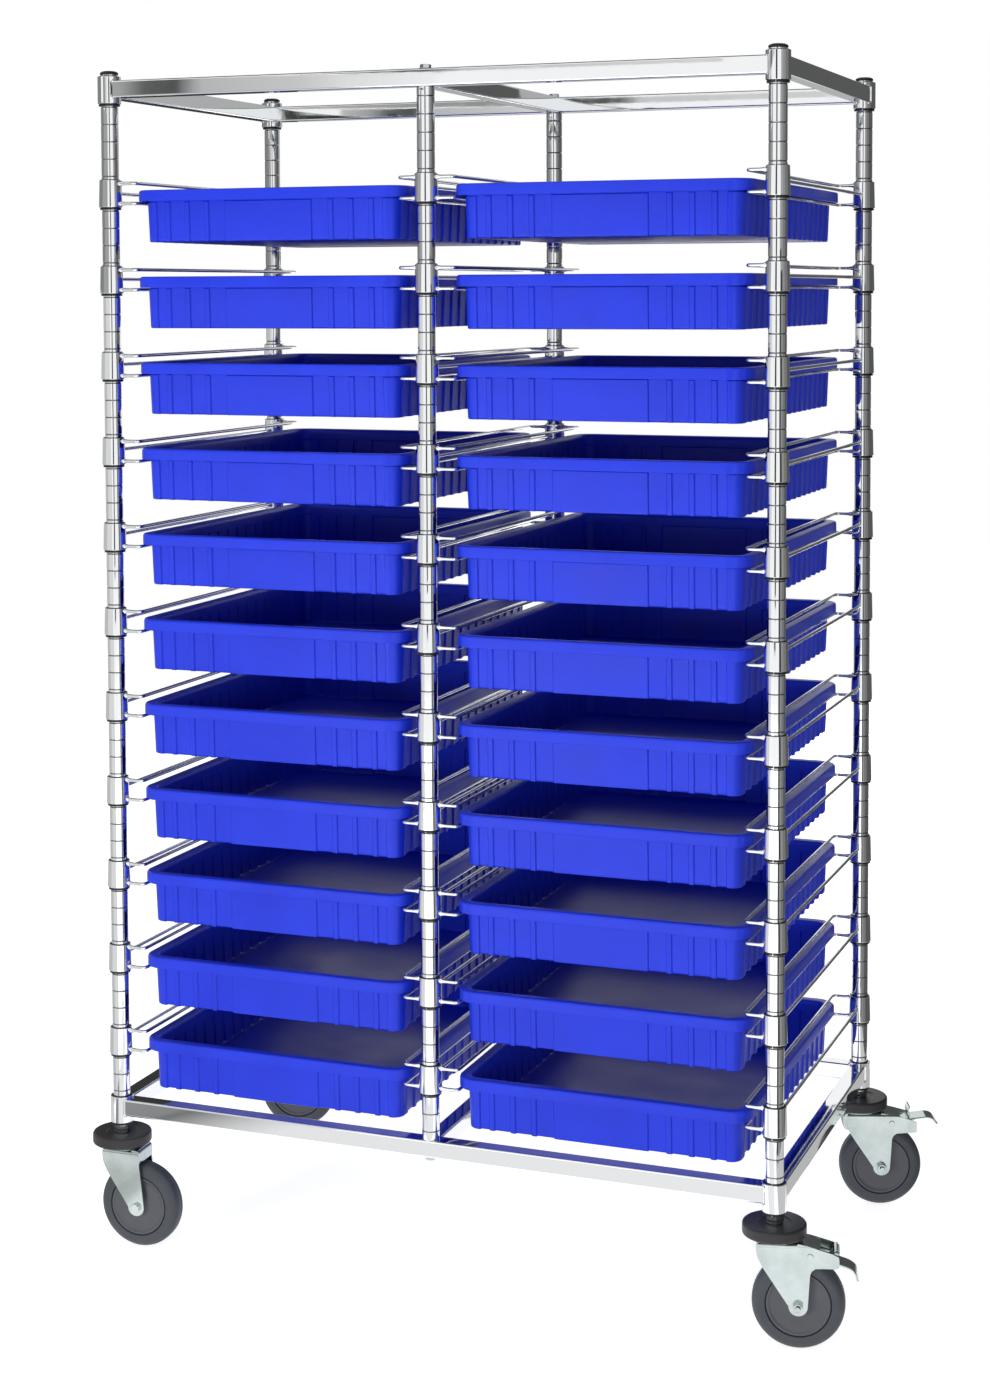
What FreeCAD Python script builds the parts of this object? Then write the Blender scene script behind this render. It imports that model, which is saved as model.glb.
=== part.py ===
"""Mobile bin cart: two bays of shallow trays on wire slides, clamped to grooved posts, on four casters.

Millimetres, +Z up, floor at Z = 0, front towards -Y. The origin is on the floor under the middle of the
cart's outline. The casters trail to the right and rear, so the post grid stands a little off it.
"""
import FreeCAD, Part
import math
import os
import Sketcher

SIZES = {
    # Post grid
    "cart_x": -37.95,           # middle of the post grid, across
    "cart_y": -5.95,            # middle of the post grid, front to rear
    "span_x": 1010.0,           # corner post centres, left to right
    "span_y": 540.0,            # post centres, front to rear
    "post_dia": 25.4,
    "post_bore": 22.4,
    "post_above": 3.0,          # post end above the top frame's collars
    "groove_pitch": 25.4,       # the ring grooves that the sleeves lock into
    "groove_depth": 0.6,
    "groove_width": 1.4,
    "cap_dia": 27.0,
    "cap_height": 5.0,
    "cap_flat_dia": 20.25,      # flat top of the dome
    "cap_plug": 18.0,
    "fit_gap": 0.05,            # radial clearance of pieces that fit over or into one another
    "run_gap": 0.3,             # clearance between pieces that move past one another
    # Frames
    "tube_side": 25.0,
    "tube_wall": 1.5,
    "top_collar_mid": 1733.0,
    "bottom_collar_mid": 206.0,
    "top_tube_rise": 1.0,       # middle of a frame's tubes above the middle of its collars
    "bottom_tube_rise": 4.0,
    "collar_height": 40.0,
    "frame_collar_dia": 34.0,
    "sleeve_wall": 1.9,
    "sleeve_below": 3.5,        # how far a sleeve shows under its collar
    "bolt_dia": 8.0,
    "bolt_hole": 8.6,
    "bolt_head": 14.0,          # across the flats
    "bolt_head_height": 6.0,
    "bolt_grip": 18.0,          # thread in the insert
    "insert_height": 22.0,
    # Slides
    "level_count": 11,
    "level_drop": 132.0,        # top frame's collars, at mid height, down to the top of the first level
    "level_rise": 124.0,        # least from the bottom frame's collars up to the top of the last level
    "collar_top_dia": 32.0,
    "collar_foot_dia": 34.0,
    "wire_dia": 5.0,
    "wire_reach": 42.0,         # post centre to the wire's long run
    "wire_bend": 8.0,
    "upper_wire": 5.0,          # these three are below the collar's top
    "tie_rod": 19.0,
    "lower_wire": 34.5,
    # Bins
    "rim_clear": 36.5,          # post centre to the side of a rim
    "rim_past": 8.0,            # rim past the post centres, half the difference in depth
    "bin_height": 76.2,
    "bin_y": 4.0,               # middle of a bin, front to rear
    "rim_height": 16.5,
    "rim_reach": 15.0,          # rim beyond the wall
    "rim_corner": 32.0,
    "bin_wall": 2.5,
    "bin_floor": 3.0,
    "rib_width": 8.0,
    "rib_pitch": 31.75,
    "rib_proud": 2.0,
    "rib_start": 99.5,          # first front rib from the middle
    "panel_width": 139.0,
    "front_ribs": 3,            # each side of the panel
    # Casters
    "wheel_dia": 127.0,
    "wheel_width": 32.0,
    "tyre_round": 9.0,
    "hub_dia": 90.0,
    "hub_inset": 0.5,           # hub face behind the tyre's side
    "boss_dia": 24.0,
    "axle_dia": 8.0,
    "axle_head": 13.0,
    "axle_head_height": 5.3,
    "axle_nut_height": 8.0,
    "axle_end": 3.0,            # thread past the nut
    "trail": 33.0,
    "fork_width": 45.0,
    "fork_gauge": 3.0,
    "fork_top": 150.0,
    "fork_front": 23.0,         # ahead of the stem
    "fork_back": 36.0,          # behind the stem
    "fork_nose": 10.0,          # upright part of the front edge
    "web_foot": 124.0,          # lower end of the web that closes the front
    "cheek_round": 13.0,
    "hood_back": 38.5,
    "hood_foot": 131.0,
    "king_dia": 12.0,
    "king_head_dia": 20.0,
    "king_head_height": 4.0,
    "race_dia": 58.0,
    "stem_dia": 22.0,
    "stem_top": 240.0,
    "bumper_dia": 88.0,
    "bumper_foot": 155.2,
    "bumper_height": 16.0,
    "bumper_round": 4.0,
    # Brakes
    "arm_root": 50.0,
    "arm_back": 88.0,
    "arm_top": 136.0,
    "arm_foot": 118.0,
    "arm_fillet": 8.0,
    "arm_web": 62.0,            # rear end of the top web between the arms
    "pivot_x": 49.0,            # brake pin, behind the stem
    "pivot_z": 133.0,
    "pin_dia": 6.0,
    "pin_head_dia": 9.0,
    "pin_head_height": 1.5,
    "pedal_boss": 11.0,
    "pedal_width": 30.0,
    "pedal_gauge": 3.0,
    "pedal_reach": 72.0,        # pin to the pedal's tip
    "pedal_hook": 14.0,
    "pedal_drop": 13.0,
    "tab_place": 29.0,          # pin to the release tab
    "tab_height": 19.0,
    "cam_width": 6.0,
    "cam_gap": 0.6,             # cam to tyre, locked
    "pedal_up": 8.0,            # degrees above level, released
    "pedal_down": -17.0,        # degrees below level, locked
    # Where each caster points at rest, in degrees from +X towards +Y
    "turn_front_left": 2.0,
    "turn_front_right": 12.0,
    "turn_rear_left": 15.0,
    "turn_rear_right": 20.0,
}

doc = FreeCAD.newDocument("bin_cart")
sheet = doc.addObject("Spreadsheet::Sheet", "Sizes")
for row, (alias, number) in enumerate(SIZES.items(), start=1):
    sheet.set(f"A{row}", alias)
    sheet.set(f"B{row}", str(number))
    sheet.setAlias(f"B{row}", alias)
doc.recompute()


class Dim:
    """A length, angle or count: its value now, and the expression that ties it to the sheet."""

    def __init__(self, value, text):
        self.value = value
        self.text = text

    def __add__(self, other):
        other = dim(other)
        return Dim(self.value + other.value, f"({self.text} + {other.text})")

    def __sub__(self, other):
        other = dim(other)
        return Dim(self.value - other.value, f"({self.text} - {other.text})")

    def __mul__(self, other):
        other = dim(other)
        return Dim(self.value * other.value, f"({self.text} * {other.text})")

    def __truediv__(self, other):
        other = dim(other)
        return Dim(self.value / other.value, f"({self.text} / {other.text})")

    def __neg__(self):
        return Dim(-self.value, f"(0 - {self.text})")


def dim(number):
    """A Dim from a plain number, or the Dim itself."""
    return number if isinstance(number, Dim) else Dim(number, str(number))


def size(alias):
    """The driving size of that name in the sheet."""
    return Dim(SIZES[alias], f"Sizes.{alias}")


def along(angle, length):
    """The X and Y parts of a length at an angle in degrees."""
    turn = math.radians(angle.value)
    across = Dim(length.value * math.cos(turn), f"({length.text} * cos({angle.text}))")
    deep = Dim(length.value * math.sin(turn), f"({length.text} * sin({angle.text}))")
    return across, deep


def distance(across, deep):
    """The straight length of an X and a Y part."""
    value = math.hypot(across.value, deep.value)
    return Dim(value, f"sqrt({across.text} * {across.text} + {deep.text} * {deep.text})")


def whole(count):
    """The whole number at or under a count."""
    return Dim(math.floor(count.value), f"floor({count.text})")


def bind(thing, place, length):
    """Tie one property of an object to the sheet."""
    thing.setExpression(place, dim(length).text)


def put(thing, x=0, y=0, z=0, turn=0):
    """Tie an object's place, and its turn about +Z, to the sheet."""
    for letter, length in zip("xyz", (x, y, z)):
        bind(thing, f"Placement.Base.{letter}", length)
    bind(thing, "Placement.Rotation.Angle", turn)


nodes = []


def node(thing, label):
    """Name an object as a sub-part that gets its own file."""
    thing.Label = label
    nodes.append(thing)
    return thing


def origin_part(body, role):
    """One of a body's own origin planes or axes."""
    return next(part for part in body.Origin.OriginFeatures if part.Role == role)


def new_body(name):
    return doc.addObject("PartDesign::Body", name)


def new_sketch(body, plane, lift=0, tilt=0):
    """An empty sketch on an origin plane, lifted off it and turned in it."""
    drawing = body.newObject("Sketcher::SketchObject", "Outline")
    drawing.AttachmentSupport = [(origin_part(body, plane), "")]
    drawing.MapMode = "FlatFace"
    bind(drawing, "AttachmentOffset.Base.z", lift)
    bind(drawing, "AttachmentOffset.Rotation.Angle", tilt)
    return drawing


def constrain(drawing, kind, places, length):
    """A dimension in a sketch, tied to the sheet."""
    length = dim(length)
    index = drawing.addConstraint(Sketcher.Constraint(kind, *places, length.value))
    drawing.setExpression(f"Constraints[{index}]", length.text)


def pin_point(drawing, line, end, point):
    """Hold one end of a line at a point measured from the sketch's origin."""
    constrain(drawing, "DistanceX", (-1, 1, line, end), point[0])
    constrain(drawing, "DistanceY", (-1, 1, line, end), point[1])


def vector(point):
    return FreeCAD.Vector(point[0].value, point[1].value, 0)


def draw_polygon(drawing, points):
    """A closed outline of straight lines."""
    points = [(dim(x), dim(y)) for x, y in points]
    first = drawing.GeometryCount
    for start, end in zip(points, points[1:] + points[:1]):
        drawing.addGeometry(Part.LineSegment(vector(start), vector(end)))
    for index, point in enumerate(points):
        following = first + (index + 1) % len(points)
        drawing.addConstraint(Sketcher.Constraint("Coincident", first + index, 2, following, 1))
        pin_point(drawing, first + index, 1, point)


def draw_box(drawing, low, high):
    """A rectangle from its low corner to its high one."""
    draw_polygon(drawing, [low, (high[0], low[1]), high, (low[0], high[1])])


def draw_hexagon(drawing, across_flats):
    """A bolt head about the sketch's origin."""
    half = across_flats / 2
    corner = half * (2 / math.sqrt(3))
    draw_polygon(drawing, [
        (corner, 0), (corner / 2, half), (-corner / 2, half),
        (-corner, 0), (-corner / 2, -half), (corner / 2, -half),
    ])


def draw_circle(drawing, x, y, diameter):
    centre = (dim(x), dim(y))
    diameter = dim(diameter)
    circle = Part.Circle(vector(centre), FreeCAD.Vector(0, 0, 1), diameter.value / 2)
    index = drawing.addGeometry(circle)
    pin_point(drawing, index, 3, centre)
    constrain(drawing, "Diameter", (index,), diameter)


def heading(start, end):
    """The direction of a right-angled run's straight stretch, as -1, 0 or 1 along X and Y."""
    steps = (end[0].value - start[0].value, end[1].value - start[1].value)
    longest = max(abs(step) for step in steps)
    return [round(step / longest) for step in steps]


def draw_rounded(drawing, corners, radius, closed):
    """Straight stretches joined by quarter rounds. The corners go round counter-clockwise."""
    corners = [(dim(x), dim(y)) for x, y in corners]
    radius = dim(radius)
    pairs = list(zip(corners, corners[1:]))
    if closed:
        pairs.append((corners[-1], corners[0]))
    headings = [heading(start, end) for start, end in pairs]
    stretches = []
    for index, (start, end) in enumerate(pairs):
        at_start = radius if closed or index > 0 else dim(0)
        at_end = radius if closed or index < len(pairs) - 1 else dim(0)
        begin = [start[k] + at_start * headings[index][k] for k in range(2)]
        finish = [end[k] - at_end * headings[index][k] for k in range(2)]
        line = drawing.addGeometry(Part.LineSegment(vector(begin), vector(finish)))
        pin_point(drawing, line, 1, begin)
        pin_point(drawing, line, 2, finish)
        stretches.append((line, begin, finish))
    for index, (line, _, finish) in enumerate(stretches):
        if not closed and index == len(stretches) - 1:
            break
        after = (index + 1) % len(stretches)
        centre = [finish[k] + radius * headings[after][k] for k in range(2)]
        start_angle = math.atan2(headings[index][1], headings[index][0]) - math.pi / 2
        circle = Part.Circle(vector(centre), FreeCAD.Vector(0, 0, 1), radius.value)
        arc = drawing.addGeometry(Part.ArcOfCircle(circle, start_angle, start_angle + math.pi / 2))
        drawing.addConstraint(Sketcher.Constraint("Coincident", line, 2, arc, 1))
        drawing.addConstraint(Sketcher.Constraint("Coincident", arc, 2, stretches[after][0], 1))
        constrain(drawing, "Radius", (arc,), radius)


def draw_rounded_box(drawing, width, depth, radius):
    """A rectangle about the sketch's origin with rounded corners."""
    x, y = width / 2, depth / 2
    draw_rounded(drawing, [(-x, -y), (x, -y), (x, y), (-x, y)], radius, True)


def pad(body, drawing, length, symmetric=False):
    """Material, from a sketch along its normal."""
    feature = body.newObject("PartDesign::Pad", "Pad")
    feature.Profile = drawing
    feature.SideType = "Symmetric" if symmetric else "One side"
    bind(feature, "Length", length)
    return feature


def pocket(body, drawing, length=None, symmetric=False, reverse=False):
    """A cut, of a length or right through, along a sketch's normal or against it."""
    doc.recompute()
    before = body.Shape.Volume
    feature = body.newObject("PartDesign::Pocket", "Pocket")
    feature.Profile = drawing
    feature.SideType = "Symmetric" if symmetric else "One side"
    feature.Reversed = reverse
    if length is None:
        feature.Type = "ThroughAll"
    else:
        bind(feature, "Length", length)
    doc.recompute()
    if body.Shape.Volume >= before:
        raise RuntimeError(f"a pocket in {body.Name} cuts nothing")
    return feature


def revolve(body, drawing, axis):
    """A turned shape about one of its sketch's own axes."""
    feature = body.newObject("PartDesign::Revolution", "Turned")
    feature.Profile = drawing
    feature.ReferenceAxis = (drawing, [axis])
    feature.Angle = 360
    return feature


def turned_body(name, points, plane="XZ_Plane", axis="V_Axis"):
    """A body turned from one closed outline. Upright, the outline is of radius and height."""
    body = new_body(name)
    drawing = new_sketch(body, plane)
    draw_polygon(drawing, points)
    revolve(body, drawing, axis)
    return body


def round_edges(body, radius, wanted):
    """Fillet the edges of a body that a test picks out."""
    doc.recompute()
    base = body.Tip
    names = [f"Edge{i}" for i, edge in enumerate(base.Shape.Edges, start=1) if wanted(edge)]
    feature = body.newObject("PartDesign::Fillet", "Round")
    feature.Base = (base, names)
    bind(feature, "Radius", radius)
    return feature


def repeat(body, axis, spacing, count):
    """Copy all of a body so far in a row along an axis, forwards or, with a negative spacing, backwards."""
    doc.recompute()
    feature = body.newObject("PartDesign::LinearPattern", "Row")
    feature.TransformMode = "Whole shape"
    feature.Direction = (origin_part(body, axis), [""])
    feature.Mode = "Spacing"
    feature.Reversed = spacing.value < 0
    bind(feature, "Offset", -spacing if spacing.value < 0 else spacing)
    bind(feature, "Occurrences", count)
    body.Tip = feature


def at_corners(body):
    """Copy a body that stands at the front left post to all four corner posts."""
    repeat(body, "X_Axis", size("span_x"), 2)
    repeat(body, "Y_Axis", size("span_y"), 2)


def copy_of(body, name):
    """A second body with the same shape and a place of its own."""
    twin = new_body(name)
    clone = twin.newObject("PartDesign::FeatureBase", "Copy")
    clone.BaseFeature = body
    twin.Tip = clone
    return twin


def group(name, things):
    """Separate solids that make one sub-part."""
    compound = doc.addObject("Part::Compound", name)
    compound.Links = things
    return compound


left_x = size("cart_x") - size("span_x") / 2
right_x = size("cart_x") + size("span_x") / 2
front_y = size("cart_y") - size("span_y") / 2
rear_y = size("cart_y") + size("span_y") / 2
post_radius = size("post_dia") / 2
post_foot = size("bumper_foot") + size("bumper_height")
post_top = size("top_collar_mid") + size("collar_height") / 2 + size("post_above")
half_tube = size("tube_side") / 2
top_tube = size("top_collar_mid") + size("top_tube_rise")
bottom_tube = size("bottom_collar_mid") + size("bottom_tube_rise")
middle_post_foot = bottom_tube + half_tube
middle_post_top = top_tube - half_tube
level_top = size("top_collar_mid") - size("level_drop")
level_room = level_top - size("bottom_collar_mid") - size("level_rise")
level_pitch = whole(level_room / (size("level_count") - 1) / size("groove_pitch")) * size("groove_pitch")
wheel_radius = size("wheel_dia") / 2
sleeve_inner = post_radius + size("fit_gap")
sleeve_outer = sleeve_inner + size("sleeve_wall")
collar_bore = sleeve_outer + size("fit_gap")


def make_post(name, foot, top):
    """A tube with ring grooves all the way up, the first one half a pitch above its foot."""
    body = turned_body(name, [
        (size("post_bore") / 2, 0),
        (post_radius, 0),
        (post_radius, top - foot),
        (size("post_bore") / 2, top - foot),
    ])
    drawing = new_sketch(body, "XZ_Plane")
    low = size("groove_pitch") / 2
    draw_box(drawing, (post_radius - size("groove_depth"), low),
             (post_radius + size("groove_depth"), low + size("groove_width")))
    groove = body.newObject("PartDesign::Groove", "RingGroove")
    groove.Profile = drawing
    groove.ReferenceAxis = (drawing, ["V_Axis"])
    groove.Angle = 360
    doc.recompute()
    rings = body.newObject("PartDesign::LinearPattern", "RingGrooves")
    rings.Originals = [groove]
    rings.Direction = (origin_part(body, "Z_Axis"), [""])
    rings.Mode = "Spacing"
    bind(rings, "Offset", size("groove_pitch"))
    bind(rings, "Occurrences", whole((top - foot) / size("groove_pitch")))
    body.Tip = rings
    return body


def make_posts():
    """Four corner posts on the casters' bumpers, and two middle posts between the frames."""
    corner = make_post("CornerPost", post_foot, post_top)
    places = {
        "post_front_left": (left_x, front_y),
        "post_front_right": (right_x, front_y),
        "post_rear_left": (left_x, rear_y),
        "post_rear_right": (right_x, rear_y),
    }
    for index, (label, (x, y)) in enumerate(places.items()):
        body = corner if index == 0 else copy_of(corner, "CornerPostCopy")
        put(body, x, y, post_foot)
        node(body, label)
    middle = make_post("MiddlePost", middle_post_foot, middle_post_top)
    put(middle, size("cart_x"), front_y, middle_post_foot)
    node(middle, "post_front_middle")
    twin = copy_of(middle, "MiddlePostCopy")
    put(twin, size("cart_x"), rear_y, middle_post_foot)
    node(twin, "post_rear_middle")


def make_post_caps():
    """Domed plugs in the tops of the corner posts."""
    plug = size("post_bore") / 2 - size("fit_gap")
    rim = size("cap_dia") / 2
    body = turned_body("PostCaps", [
        (0, -size("cap_plug")),
        (plug, -size("cap_plug")),
        (plug, 0),
        (rim, 0),
        (rim, size("cap_height") / 2),
        (size("cap_flat_dia") / 2, size("cap_height")),
        (0, size("cap_height")),
    ])
    at_corners(body)
    put(body, left_x, front_y, post_top)
    node(body, "post_caps")


def make_tube(name, length, along_x, cuts):
    """A square tube about its own middle. Each cut is a place along it and a diameter."""
    body = new_body(name)
    drawing = new_sketch(body, "YZ_Plane" if along_x else "XZ_Plane")
    inner = half_tube - size("tube_wall")
    draw_box(drawing, (-half_tube, -half_tube), (half_tube, half_tube))
    draw_box(drawing, (-inner, -inner), (inner, inner))
    pad(body, drawing, length, symmetric=True)
    if cuts:
        drawing = new_sketch(body, "XY_Plane")
        for place, diameter in cuts:
            draw_circle(drawing, place if along_x else 0, 0 if along_x else place, diameter)
        pocket(body, drawing, size("tube_side") * 2, symmetric=True)
    return body


def make_frame(label, tube_mid, collar_mid):
    """Five tubes and four corner collars: the tubes are coped to the collars, the centre one butts."""
    half_x, half_y = size("span_x") / 2, size("span_y") / 2
    cope = size("frame_collar_dia")
    cross_cuts = [(-half_x, cope), (0, size("bolt_hole")), (half_x, cope)]
    side_cuts = [(-half_y, cope), (half_y, cope)]
    front = make_tube("FrontTube", size("span_x"), True, cross_cuts)
    rear = copy_of(front, "RearTube")
    left = make_tube("LeftTube", size("span_y"), False, side_cuts)
    right = copy_of(left, "RightTube")
    centre = make_tube("CentreTube", size("span_y") - size("tube_side"), False, [])
    put(front, 0, -half_y, tube_mid)
    put(rear, 0, half_y, tube_mid)
    put(left, -half_x, 0, tube_mid)
    put(right, half_x, 0, tube_mid)
    put(centre, 0, 0, tube_mid)
    half_collar = size("collar_height") / 2
    collars = turned_body("FrameCollars", [
        (collar_bore, -half_collar),
        (cope / 2, -half_collar),
        (cope / 2, half_collar),
        (collar_bore, half_collar),
    ])
    at_corners(collars)
    put(collars, -half_x, -half_y, collar_mid)
    frame = group("Frame", [front, rear, left, right, centre, collars])
    put(frame, size("cart_x"), size("cart_y"))
    node(frame, label)


def make_middle_post_fixings():
    """Bolts up through the bottom frame and down through the top one, into inserts in the middle posts."""
    low, high = middle_post_foot, middle_post_top

    def make_bolts(name):
        body = new_body(name)
        drawing = new_sketch(body, "XY_Plane")
        draw_hexagon(drawing, size("bolt_head"))
        pad(body, drawing, size("bolt_head_height"))
        drawing = new_sketch(body, "XY_Plane", size("bolt_head_height"))
        draw_circle(drawing, 0, 0, size("bolt_dia"))
        pad(body, drawing, size("tube_side") + size("bolt_grip"))
        repeat(body, "Y_Axis", size("span_y"), 2)
        return body

    lower = make_bolts("LowerBolts")
    put(lower, size("cart_x"), front_y, low - size("tube_side") - size("bolt_head_height"))
    upper = make_bolts("UpperBolts")
    upper.Placement.Rotation = FreeCAD.Rotation(FreeCAD.Vector(1, 0, 0), 180)
    put(upper, size("cart_x"), rear_y, high + size("tube_side") + size("bolt_head_height"), 180)
    node(group("MiddlePostBolts", [lower, upper]), "middle_post_bolts")

    bore = size("bolt_dia") / 2 + size("fit_gap")
    outside = size("post_bore") / 2 - size("fit_gap")
    inserts = turned_body("MiddlePostInserts", [
        (bore, 0), (outside, 0), (outside, size("insert_height")), (bore, size("insert_height")),
    ])
    repeat(inserts, "Y_Axis", size("span_y"), 2)
    repeat(inserts, "Z_Axis", high - low - size("insert_height"), 2)
    put(inserts, size("cart_x"), front_y, low)
    node(inserts, "middle_post_inserts")


def collar_radius(depth):
    """A slide collar's outer radius at a depth below its top."""
    top = size("collar_top_dia") / 2
    foot = size("collar_foot_dia") / 2
    return top + (foot - top) * depth / size("collar_height")


def down_the_levels(body):
    repeat(body, "Z_Axis", -level_pitch, size("level_count"))


def make_wires(name, depth):
    """On every level, one wire out of the front collar, along the bay and back to the rear collar."""
    body = new_body(name)
    half_y = size("span_y") / 2
    start = collar_radius(depth)
    path = new_sketch(body, "XY_Plane", -depth)
    reach = size("wire_reach")
    corners = [(start, -half_y), (reach, -half_y), (reach, half_y), (start, half_y)]
    draw_rounded(path, corners, size("wire_bend"), False)
    profile = new_sketch(body, "YZ_Plane", start)
    draw_circle(profile, -half_y, -depth, size("wire_dia"))
    doc.recompute()
    wire = body.newObject("PartDesign::AdditivePipe", "Wire")
    wire.Profile = profile
    wire.Spine = (path, [f"Edge{i}" for i in range(1, path.GeometryCount + 1)])
    down_the_levels(body)
    return body


def make_slides():
    """Eleven levels of collars, tie rods and wires, for the left, middle and right rows of posts."""
    half_y = size("span_y") / 2
    collars = turned_body("SlideCollars", [
        (collar_bore, -size("collar_height")),
        (size("collar_foot_dia") / 2, -size("collar_height")),
        (size("collar_top_dia") / 2, 0),
        (collar_bore, 0),
    ])
    repeat(collars, "Y_Axis", size("span_y"), 2)
    down_the_levels(collars)
    put(collars, 0, -half_y)
    rods = new_body("TieRods")
    drawing = new_sketch(rods, "XZ_Plane")
    draw_circle(drawing, 0, -size("tie_rod"), size("wire_dia"))
    pad(rods, drawing, (half_y - collar_radius(size("tie_rod"))) * 2, symmetric=True)
    down_the_levels(rods)
    upper = make_wires("UpperWires", size("upper_wire"))
    lower = make_wires("LowerWires", size("lower_wire"))
    upper_back = copy_of(upper, "UpperWiresBack")
    lower_back = copy_of(lower, "LowerWiresBack")
    put(upper_back, turn=180)
    put(lower_back, turn=180)
    rows = {
        "left_slides": (left_x, [collars, rods, upper, lower]),
        "middle_slides": (size("cart_x"), [collars, rods, upper, lower, upper_back, lower_back]),
        "right_slides": (right_x, [collars, rods, upper_back, lower_back]),
    }
    for label, (x, things) in rows.items():
        slides = group("Slides", things)
        put(slides, x, size("cart_y"), level_top)
        node(slides, label)


def make_split_sleeves():
    """Plastic wedge rings in two halves between every collar and its post."""
    height = size("collar_height") + size("sleeve_below")

    def make_sleeve(name):
        body = turned_body(name, [
            (sleeve_inner, -height), (sleeve_outer, -height), (sleeve_outer, 0), (sleeve_inner, 0),
        ])
        drawing = new_sketch(body, "XZ_Plane")
        split = size("groove_width") / 2
        draw_box(drawing, (-split, -height), (split, 0))
        pocket(body, drawing, sleeve_outer * 2, symmetric=True)
        return body

    on_levels = make_sleeve("LevelSleeves")
    repeat(on_levels, "X_Axis", size("span_x") / 2, 3)
    repeat(on_levels, "Y_Axis", size("span_y"), 2)
    down_the_levels(on_levels)
    put(on_levels, left_x, front_y, level_top)
    in_frames = make_sleeve("FrameSleeves")
    at_corners(in_frames)
    repeat(in_frames, "Z_Axis", size("bottom_collar_mid") - size("top_collar_mid"), 2)
    put(in_frames, left_x, front_y, size("top_collar_mid") + size("collar_height") / 2)
    node(group("SplitSleeves", [on_levels, in_frames]), "split_sleeves")


def make_bin():
    """A tray about the middle of its own floor: wall, turned-down rim, ribs and panels."""
    body = new_body("Bin")
    rim_x = size("span_x") / 2 - size("rim_clear") * 2
    rim_y = size("span_y") + size("rim_past") * 2
    wall_x = rim_x - size("rim_reach") * 2
    wall_y = rim_y - size("rim_reach") * 2
    wall_corner = size("rim_corner") - size("rim_reach")
    rim_foot = size("bin_height") - size("rim_height")
    skirt = size("bin_wall")

    drawing = new_sketch(body, "XY_Plane")
    draw_rounded_box(drawing, wall_x, wall_y, wall_corner)
    pad(body, drawing, size("bin_height"))

    drawing = new_sketch(body, "XY_Plane", rim_foot)
    draw_rounded_box(drawing, rim_x, rim_y, size("rim_corner"))
    pad(body, drawing, size("rim_height"))

    drawing = new_sketch(body, "XY_Plane", rim_foot)
    draw_rounded_box(drawing, rim_x - skirt * 2, rim_y - skirt * 2, size("rim_corner") - skirt)
    draw_rounded_box(drawing, wall_x, wall_y, wall_corner)
    pocket(body, drawing, size("rim_height") - skirt, reverse=True)

    half_rib = size("rib_width") / 2
    drawing = new_sketch(body, "XZ_Plane")
    half_panel = size("panel_width") / 2
    draw_box(drawing, (-half_panel, 0), (half_panel, rim_foot))
    for index in range(SIZES["front_ribs"]):
        middle = size("rib_start") + size("rib_pitch") * index
        draw_box(drawing, (middle - half_rib, 0), (middle + half_rib, rim_foot))
        draw_box(drawing, (-middle - half_rib, 0), (-middle + half_rib, rim_foot))
    pad(body, drawing, wall_y + size("rib_proud") * 2, symmetric=True)

    drawing = new_sketch(body, "YZ_Plane")
    straight = wall_y - wall_corner * 2
    gaps = whole((straight - size("rib_width")) / size("rib_pitch")).value
    for index in range(gaps + 1):
        middle = size("rib_pitch") * (index - gaps / 2)
        draw_box(drawing, (middle - half_rib, 0), (middle + half_rib, rim_foot))
    pad(body, drawing, wall_x + size("rib_proud") * 2, symmetric=True)

    drawing = new_sketch(body, "XY_Plane", size("bin_floor"))
    draw_rounded_box(drawing, wall_x - size("bin_wall") * 2, wall_y - size("bin_wall") * 2,
                     wall_corner - size("bin_wall"))
    pocket(body, drawing, size("bin_height"), reverse=True)
    return body


def make_bins():
    """Two bays of trays, hung by their rims on the lower wires."""
    first = make_bin()
    rest = level_top - size("lower_wire") + size("wire_dia") / 2 + size("run_gap")
    foot = rest - size("bin_height") + size("rim_height")
    bays = {"left": size("cart_x") - size("span_x") / 4, "right": size("cart_x") + size("span_x") / 4}
    for side, x in bays.items():
        for level in range(SIZES["level_count"]):
            body = copy_of(first, "BinCopy")
            put(body, x, size("cart_y") + size("bin_y"), foot - level_pitch * level)
            node(body, f"bin_{side}_{level + 1:02d}")


def make_caster_stems():
    """King pin, race plate and the stem that goes up into the post, turned in one."""
    web_foot = size("fork_top") - size("fork_gauge") - size("run_gap")
    race_foot = size("fork_top") + size("run_gap")
    head, king = size("king_head_dia") / 2, size("king_dia") / 2
    race, stem = size("race_dia") / 2, size("stem_dia") / 2
    body = turned_body("CasterStems", [
        (0, web_foot - size("king_head_height")),
        (head, web_foot - size("king_head_height")),
        (head, web_foot),
        (king, web_foot),
        (king, race_foot),
        (race, race_foot),
        (race, size("bumper_foot")),
        (stem, size("bumper_foot")),
        (stem, size("stem_top")),
        (0, size("stem_top")),
    ])
    at_corners(body)
    put(body, left_x, front_y)
    node(body, "caster_stems")


def make_bumpers():
    """Round rubber bumpers between the race plates and the posts."""
    hole = size("stem_dia") / 2 + size("fit_gap")
    outside = size("bumper_dia") / 2
    body = turned_body("Bumpers", [
        (hole, 0), (outside, 0), (outside, size("bumper_height")), (hole, size("bumper_height")),
    ])
    round_edges(body, size("bumper_round"), lambda edge: is_ring(edge, outside))
    at_corners(body)
    put(body, left_x, front_y, size("bumper_foot"))
    node(body, "bumpers")


def is_ring(edge, radius):
    """Whether an edge is a full circle of that radius."""
    return edge.Closed and abs(edge.BoundBox.DiagonalLength / math.sqrt(2) - radius.value * 2) < 0.01


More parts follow.
